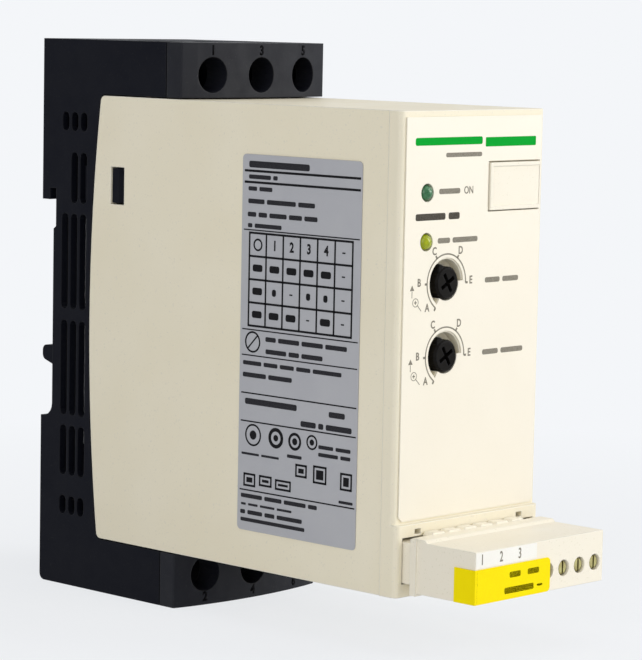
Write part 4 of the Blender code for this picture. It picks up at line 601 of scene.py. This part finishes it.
print("terminal numbers laid")


# Rating label: rules, a plain table, and bars in place of words
labelFront = 22.4          # outer face of the label, from the middle of the width
labelHeight = labelFront + printLift
labelShift = -middleDepth  # turns a depth from the rear face into the print's x

labelPrint = {      # rules are height and line width, and depths are from the rear face
    "rules": ((97.5, 0.5), (95.1, 0.5), (85.0, 0.26), (63.8, 0.26), (58.3, 0.26), (50.2, 0.3),
              (44.15, 0.3), (29.3, 0.3)),
    "start": 65.3, "end": 99.0,
    "tableLeft": 67.1, "tableRight": 97.1, "tableLow": 64.65, "tableHigh": 84.4,
    "tableRows": 4, "tableColumns": 6, "tableLine": 0.46,
}
shapes = []
for z, width in labelPrint["rules"]:
    shapes.append(flatBar(labelPrint["start"] + labelShift, labelPrint["end"] + labelShift,
                          z - width / 2, z + width / 2))
left, right = labelPrint["tableLeft"] + labelShift, labelPrint["tableRight"] + labelShift
low, high = labelPrint["tableLow"], labelPrint["tableHigh"]
half = labelPrint["tableLine"] / 2
for row in range(labelPrint["tableRows"] + 1):
    z = low + (high - low) * row / labelPrint["tableRows"]
    shapes.append(flatBar(left - half, right + half, z - half, z + half))
for column in range(labelPrint["tableColumns"] + 1):
    x = left + (right - left) * column / labelPrint["tableColumns"]
    shapes.append(flatBar(x - half, x + half, low, high))
layPrint("labelRules", shapes, leftFace, labelHeight, "darkInk", "housing")
print("label rules laid")

wordRows = (      # left, right, low, high of a line, and the shares of its words
    (66.6, 84.4, 98.2, 99.6, (1,)), (66.6, 75.1, 95.8, 96.7, (5, 1)),
    (66.5, 73.6, 93.3, 94.2, (2, 3)), (66.5, 86.1, 90.6, 91.6, (4, 7, 4)),
    (66.4, 86.9, 87.8, 88.8, (2, 2, 4, 3, 3)), (66.5, 76.5, 85.5, 86.4, (1, 6)),
    (72.3, 96.0, 61.6, 62.6, (2, 4, 4, 4)), (72.4, 89.1, 59.0, 60.0, (4, 2, 4)),
    (65.7, 94.6, 56.2, 57.1, (4, 3, 3, 3, 6)), (65.7, 80.3, 53.6, 54.6, (5, 5)),
    (66.5, 81.9, 47.8, 49.1, (1,)), (91.2, 95.8, 47.5, 48.7, (1,)), (83.1, 97.8, 44.7, 45.9, (3, 1, 5)),
    (88.4, 97.6, 40.6, 41.4, (3, 3)), (88.4, 97.6, 39.0, 39.8, (4, 2)), (65.7, 76.9, 36.9, 37.4, (3, 3)),
    (79.3, 83.6, 37.7, 38.4, (1,)), (94.5, 98.5, 29.9, 30.5, (1,)),
    (65.7, 88.3, 27.6, 28.5, (5, 4, 5, 2)), (65.8, 80.9, 26.0, 26.5, (1, 2, 3, 3)),
    (65.6, 84.0, 24.1, 25.0, (1, 3, 2, 5)), (65.7, 84.8, 22.5, 23.3, (1,)),
)
wordGap = 0.7
wordRound = 0.3     # corner of a word's bar as a share of its height
shapes = []
for left, right, low, high, shares in wordRows:
    letters = right - left - wordGap * (len(shares) - 1)
    start = left
    for share in shares:
        end = start + letters * share / sum(shares)
        shapes.append(flatBar(start + labelShift, end + labelShift, low, high, (high - low) * wordRound))
        start = end + wordGap
layPrint("labelWords", shapes, leftFace, labelHeight, "labelInk", "housing")

# What each cell holds, from the top row down: o ring, = bar, _ short bar, - dash, or a plain digit
cellMarks = (
    ("o", "1", "2", "3", "4", "-"), ("=", "=", "=", "=", "=", "-"),
    ("=", "_", "-", "_", "_", "-"), ("=", "=", "=", "-", "=", "-"),
)
cellSize = {
    "bar": 2.9, "short": 1.2, "dash": 0.9, "height": 1.5, "dashHeight": 0.3, "digit": 2.1,
    "digitSqueeze": 0.85, "digitBold": 0.05, "ring": 1.15, "ringLine": 0.4,
}
shapes = []
columnWidth = (labelPrint["tableRight"] - labelPrint["tableLeft"]) / labelPrint["tableColumns"]
rowHeight = (labelPrint["tableHigh"] - labelPrint["tableLow"]) / labelPrint["tableRows"]
for row, marks in enumerate(cellMarks):
    z = labelPrint["tableHigh"] - (row + 0.5) * rowHeight
    for column, mark in enumerate(marks):
        x = labelPrint["tableLeft"] + labelShift + (column + 0.5) * columnWidth
        wide = {"=": cellSize["bar"], "_": cellSize["short"], "-": cellSize["dash"]}.get(mark)
        if mark == "o":
            shapes.append(flatArc((x, z), cellSize["ring"], cellSize["ringLine"], 0, 360, roundSteps))
        elif wide is None:
            shapes.append(flatSign(mark, (x, z), cellSize["digit"], cellSize["digitSqueeze"],
                                   cellSize["digitBold"]))
        else:
            tall = cellSize["dashHeight"] if mark == "-" else cellSize["height"]
            shapes.append(flatBar(x - wide / 2, x + wide / 2, z - tall / 2, z + tall / 2, tall * wordRound))
layPrint("labelTable", shapes, leftFace, labelHeight, "darkInk", "housing")

plainRings = (      # centre in depth and height, radius and line width
    ((68.5, 61.2), 2.1, 0.4), ((69.1, 41.3), 2.2, 0.4), ((75.9, 41.4), 1.8, 0.8),
    ((81.5, 41.3), 1.6, 0.6), ((86.5, 41.7), 1.4, 0.4),
)
ringSteps = 32
slash = ((67.1, 59.8), (69.9, 62.6), 0.35)     # across the first ring: start, end and line width
ringDots = ((69.1, 41.3, 1.0), (75.9, 41.4, 0.7), (81.5, 41.3, 0.75), (86.5, 41.7, 0.65))
plainFields = (     # left, right, low, high of the plain fields in the row of marks
    (66.4, 70.0, 30.1, 33.0), (71.1, 74.9, 30.6, 33.0), (75.9, 80.6, 30.4, 32.7),
    (81.8, 85.2, 33.9, 36.7), (87.0, 90.9, 33.2, 37.0), (94.8, 98.2, 32.7, 36.4),
)
fieldLine = 0.45
shapes = [flatArc((x + labelShift, z), radius, width, 0, 360, ringSteps)
          for (x, z), radius, width in plainRings]
(startX, startZ), (endX, endZ), slashLine = slash
shapes.append(flatStroke((startX + labelShift, startZ), (endX + labelShift, endZ), slashLine))
shapes += [flatDisc((x + labelShift, z), radius) for x, z, radius in ringDots]
for left, right, low, high in plainFields:
    left, right = left + labelShift, right + labelShift
    shapes.append(flatBar(left, right, low, low + fieldLine))
    shapes.append(flatBar(left, right, high - fieldLine, high))
    shapes.append(flatBar(left, left + fieldLine, low, high))
    shapes.append(flatBar(right - fieldLine, right, low, high))
    shapes.append(flatBar(left + 2 * fieldLine, right - 2 * fieldLine, low + 2 * fieldLine,
                          high - 2 * fieldLine))
layPrint("labelMarks", shapes, leftFace, labelHeight, "darkInk", "housing")
print("rating label printed")


# Plug: bars on the yellow label, its corner line, and a white strip with plain numbers
plugPrint = {
    "front": 130.5, "labelFront": 130.7, "labelSink": 0.02,
    "bars": ((-9.9, -6.4, 18.0, 19.2), (-4.2, -0.6, 18.0, 19.2),
             (-11.4, -2.2, 14.8, 16.1), (-1.2, 0.6, 15.2, 15.7)),
    "barCorner": 0.35, "line": (-20.0, -19.85, 13.8, 20.6),
    "strip": (-20.2, -1.2, 20.95, 24.2), "stripCorner": 0.2,
    "numbers": (("1", -18.3), ("2", -12.4), ("3", -6.6)), "numberRise": 22.6,
    "numberHeight": 2.2, "numberSqueeze": 0.7, "numberLift": 0.027,
}
shapes = [flatBar(*bar, corner=plugPrint["barCorner"]) for bar in plugPrint["bars"]]
shapes.append(flatBar(*plugPrint["line"]))
layPrint("plugLabelBars", shapes, frontFace, plugPrint["labelFront"] - middleDepth - plugPrint["labelSink"],
         "brownInk", "control_plug")
layPrint("markingStrip", [flatBar(*plugPrint["strip"], corner=plugPrint["stripCorner"])], frontFace,
         plugPrint["front"] - middleDepth + printLift, "stripWhite", "control_plug")
shapes = [flatSign(digit, (x, plugPrint["numberRise"]), plugPrint["numberHeight"], plugPrint["numberSqueeze"])
          for digit, x in plugPrint["numbers"]]
layPrint("stripNumbers", shapes, frontFace, plugPrint["front"] - middleDepth + plugPrint["numberLift"],
         "greyInk", "control_plug")
print("plug printed")


# Camera, lamps and stage
cameraSettings = {
    "place": (-0.461358, -0.443168, 0.131532), "turn": (83.7984, -1.1072, -46.1429),
    "lens": 165.188, "sensorWidth": 36.0, "nearest": 0.01,
}
bpy.ops.object.camera_add(location=cameraSettings["place"],
                          rotation=[math.radians(angle) for angle in cameraSettings["turn"]])
camera = bpy.context.object
camera.name = "photoCamera"
camera.data.sensor_fit = "HORIZONTAL"
camera.data.sensor_width = cameraSettings["sensorWidth"]
camera.data.lens = cameraSettings["lens"]
camera.data.clip_start = cameraSettings["nearest"]
bpy.context.scene.camera = camera

lampSettings = {
    "keySoftbox": {"place": (0.85, -0.95, 0.55), "size": 0.7, "power": 9.1, "color": (1.0, 0.975, 0.93)},
    "sheenSoftbox": {"place": (1.0, -0.95, 0.25), "size": 0.8, "power": 3.0, "color": (0.93, 0.96, 1.0),
                     "diffuse": 0.0},
    "leftSoftbox": {"place": (-1.15, -0.55, 0.50), "size": 0.9, "power": 5.6, "color": (1.0, 0.985, 0.96)},
    "topSoftbox": {"place": (0.0, -0.1, 1.2), "size": 1.0, "power": 3.4, "color": (1.0, 1.0, 1.0)},
}
aimPoint = Vector((0, -0.01, 0.06))
for lampName, lamp in lampSettings.items():
    bpy.ops.object.light_add(type="AREA", location=lamp["place"])
    light = bpy.context.object
    light.name = lampName
    light.data.shape = "SQUARE"
    light.data.size = lamp["size"]
    light.data.energy = lamp["power"]
    light.data.color = lamp["color"]
    light.data.diffuse_factor = lamp.get("diffuse", 1.0)
    light.rotation_euler = (aimPoint - light.location).to_track_quat("-Z", "Y").to_euler()

stageSettings = {"color": (0.905, 0.922, 0.947), "ambient": 0.28, "shadowShare": 0.2,
                 "fadeStart": 0.08, "fadeEnd": 0.30, "floorSize": 6, "floorCuts": 4, "floorRoughness": 0.9}


def seenByCamera(tree):
    # 1 for rays from the camera, and for reflections and glass, 0 for the light itself
    path = tree.nodes.new("ShaderNodeLightPath")
    seen = path.outputs["Is Camera Ray"]
    for ray in ("Is Glossy Ray", "Is Transmission Ray"):
        most = tree.nodes.new("ShaderNodeMath")
        most.operation = "MAXIMUM"
        tree.links.new(seen, most.inputs[0])
        tree.links.new(path.outputs[ray], most.inputs[1])
        seen = most.outputs[0]
    return seen


world = bpy.data.worlds.new("studio")
bpy.context.scene.world = world
world.use_nodes = True
tree = world.node_tree
lit = tree.nodes["Background"]
lit.inputs["Color"].default_value = (1, 1, 1, 1)
lit.inputs["Strength"].default_value = stageSettings["ambient"]
shown = tree.nodes.new("ShaderNodeBackground")
shown.inputs["Color"].default_value = (*stageSettings["color"], 1)
mix = tree.nodes.new("ShaderNodeMixShader")
tree.links.new(seenByCamera(tree), mix.inputs["Fac"])
tree.links.new(lit.outputs[0], mix.inputs[1])
tree.links.new(shown.outputs[0], mix.inputs[2])
tree.links.new(mix.outputs[0], tree.nodes["World Output"].inputs["Surface"])

clearSelection()
bpy.ops.mesh.primitive_plane_add(size=stageSettings["floorSize"], location=(0, 0, 0))
floor = bpy.context.object
floor.name = "studioFloor"
bpy.ops.object.mode_set(mode="EDIT")
bpy.ops.mesh.subdivide(number_cuts=stageSettings["floorCuts"])
bpy.ops.object.mode_set(mode="OBJECT")
floorMaterial, floorShader = newMaterial("studioFloor", stageSettings["color"],
                                         stageSettings["floorRoughness"])
floorShader.inputs["Specular IOR Level"].default_value = 0
tree = floorMaterial.node_tree
glow = tree.nodes.new("ShaderNodeEmission")
glow.inputs["Color"].default_value = (*stageSettings["color"], 1)
place = tree.nodes.new("ShaderNodeTexCoord")
distance = tree.nodes.new("ShaderNodeVectorMath")
distance.operation = "LENGTH"
tree.links.new(place.outputs["Object"], distance.inputs[0])
fade = spread(floorMaterial, distance.outputs["Value"], 1 - stageSettings["shadowShare"], 1,
              stageSettings["fadeStart"], stageSettings["fadeEnd"])
share = addNode(floorMaterial, "ShaderNodeMath", operation="MULTIPLY")
tree.links.new(fade, share.inputs[0])
tree.links.new(seenByCamera(tree), share.inputs[1])
mix = tree.nodes.new("ShaderNodeMixShader")
tree.links.new(share.outputs[0], mix.inputs["Fac"])
tree.links.new(floorShader.outputs[0], mix.inputs[1])
tree.links.new(glow.outputs[0], mix.inputs[2])
tree.links.new(mix.outputs[0], tree.nodes["Material Output"].inputs["Surface"])
floor.data.materials.append(floorMaterial)

bpy.context.scene.view_settings.view_transform = "Standard"
print("camera, lamps and floor set")
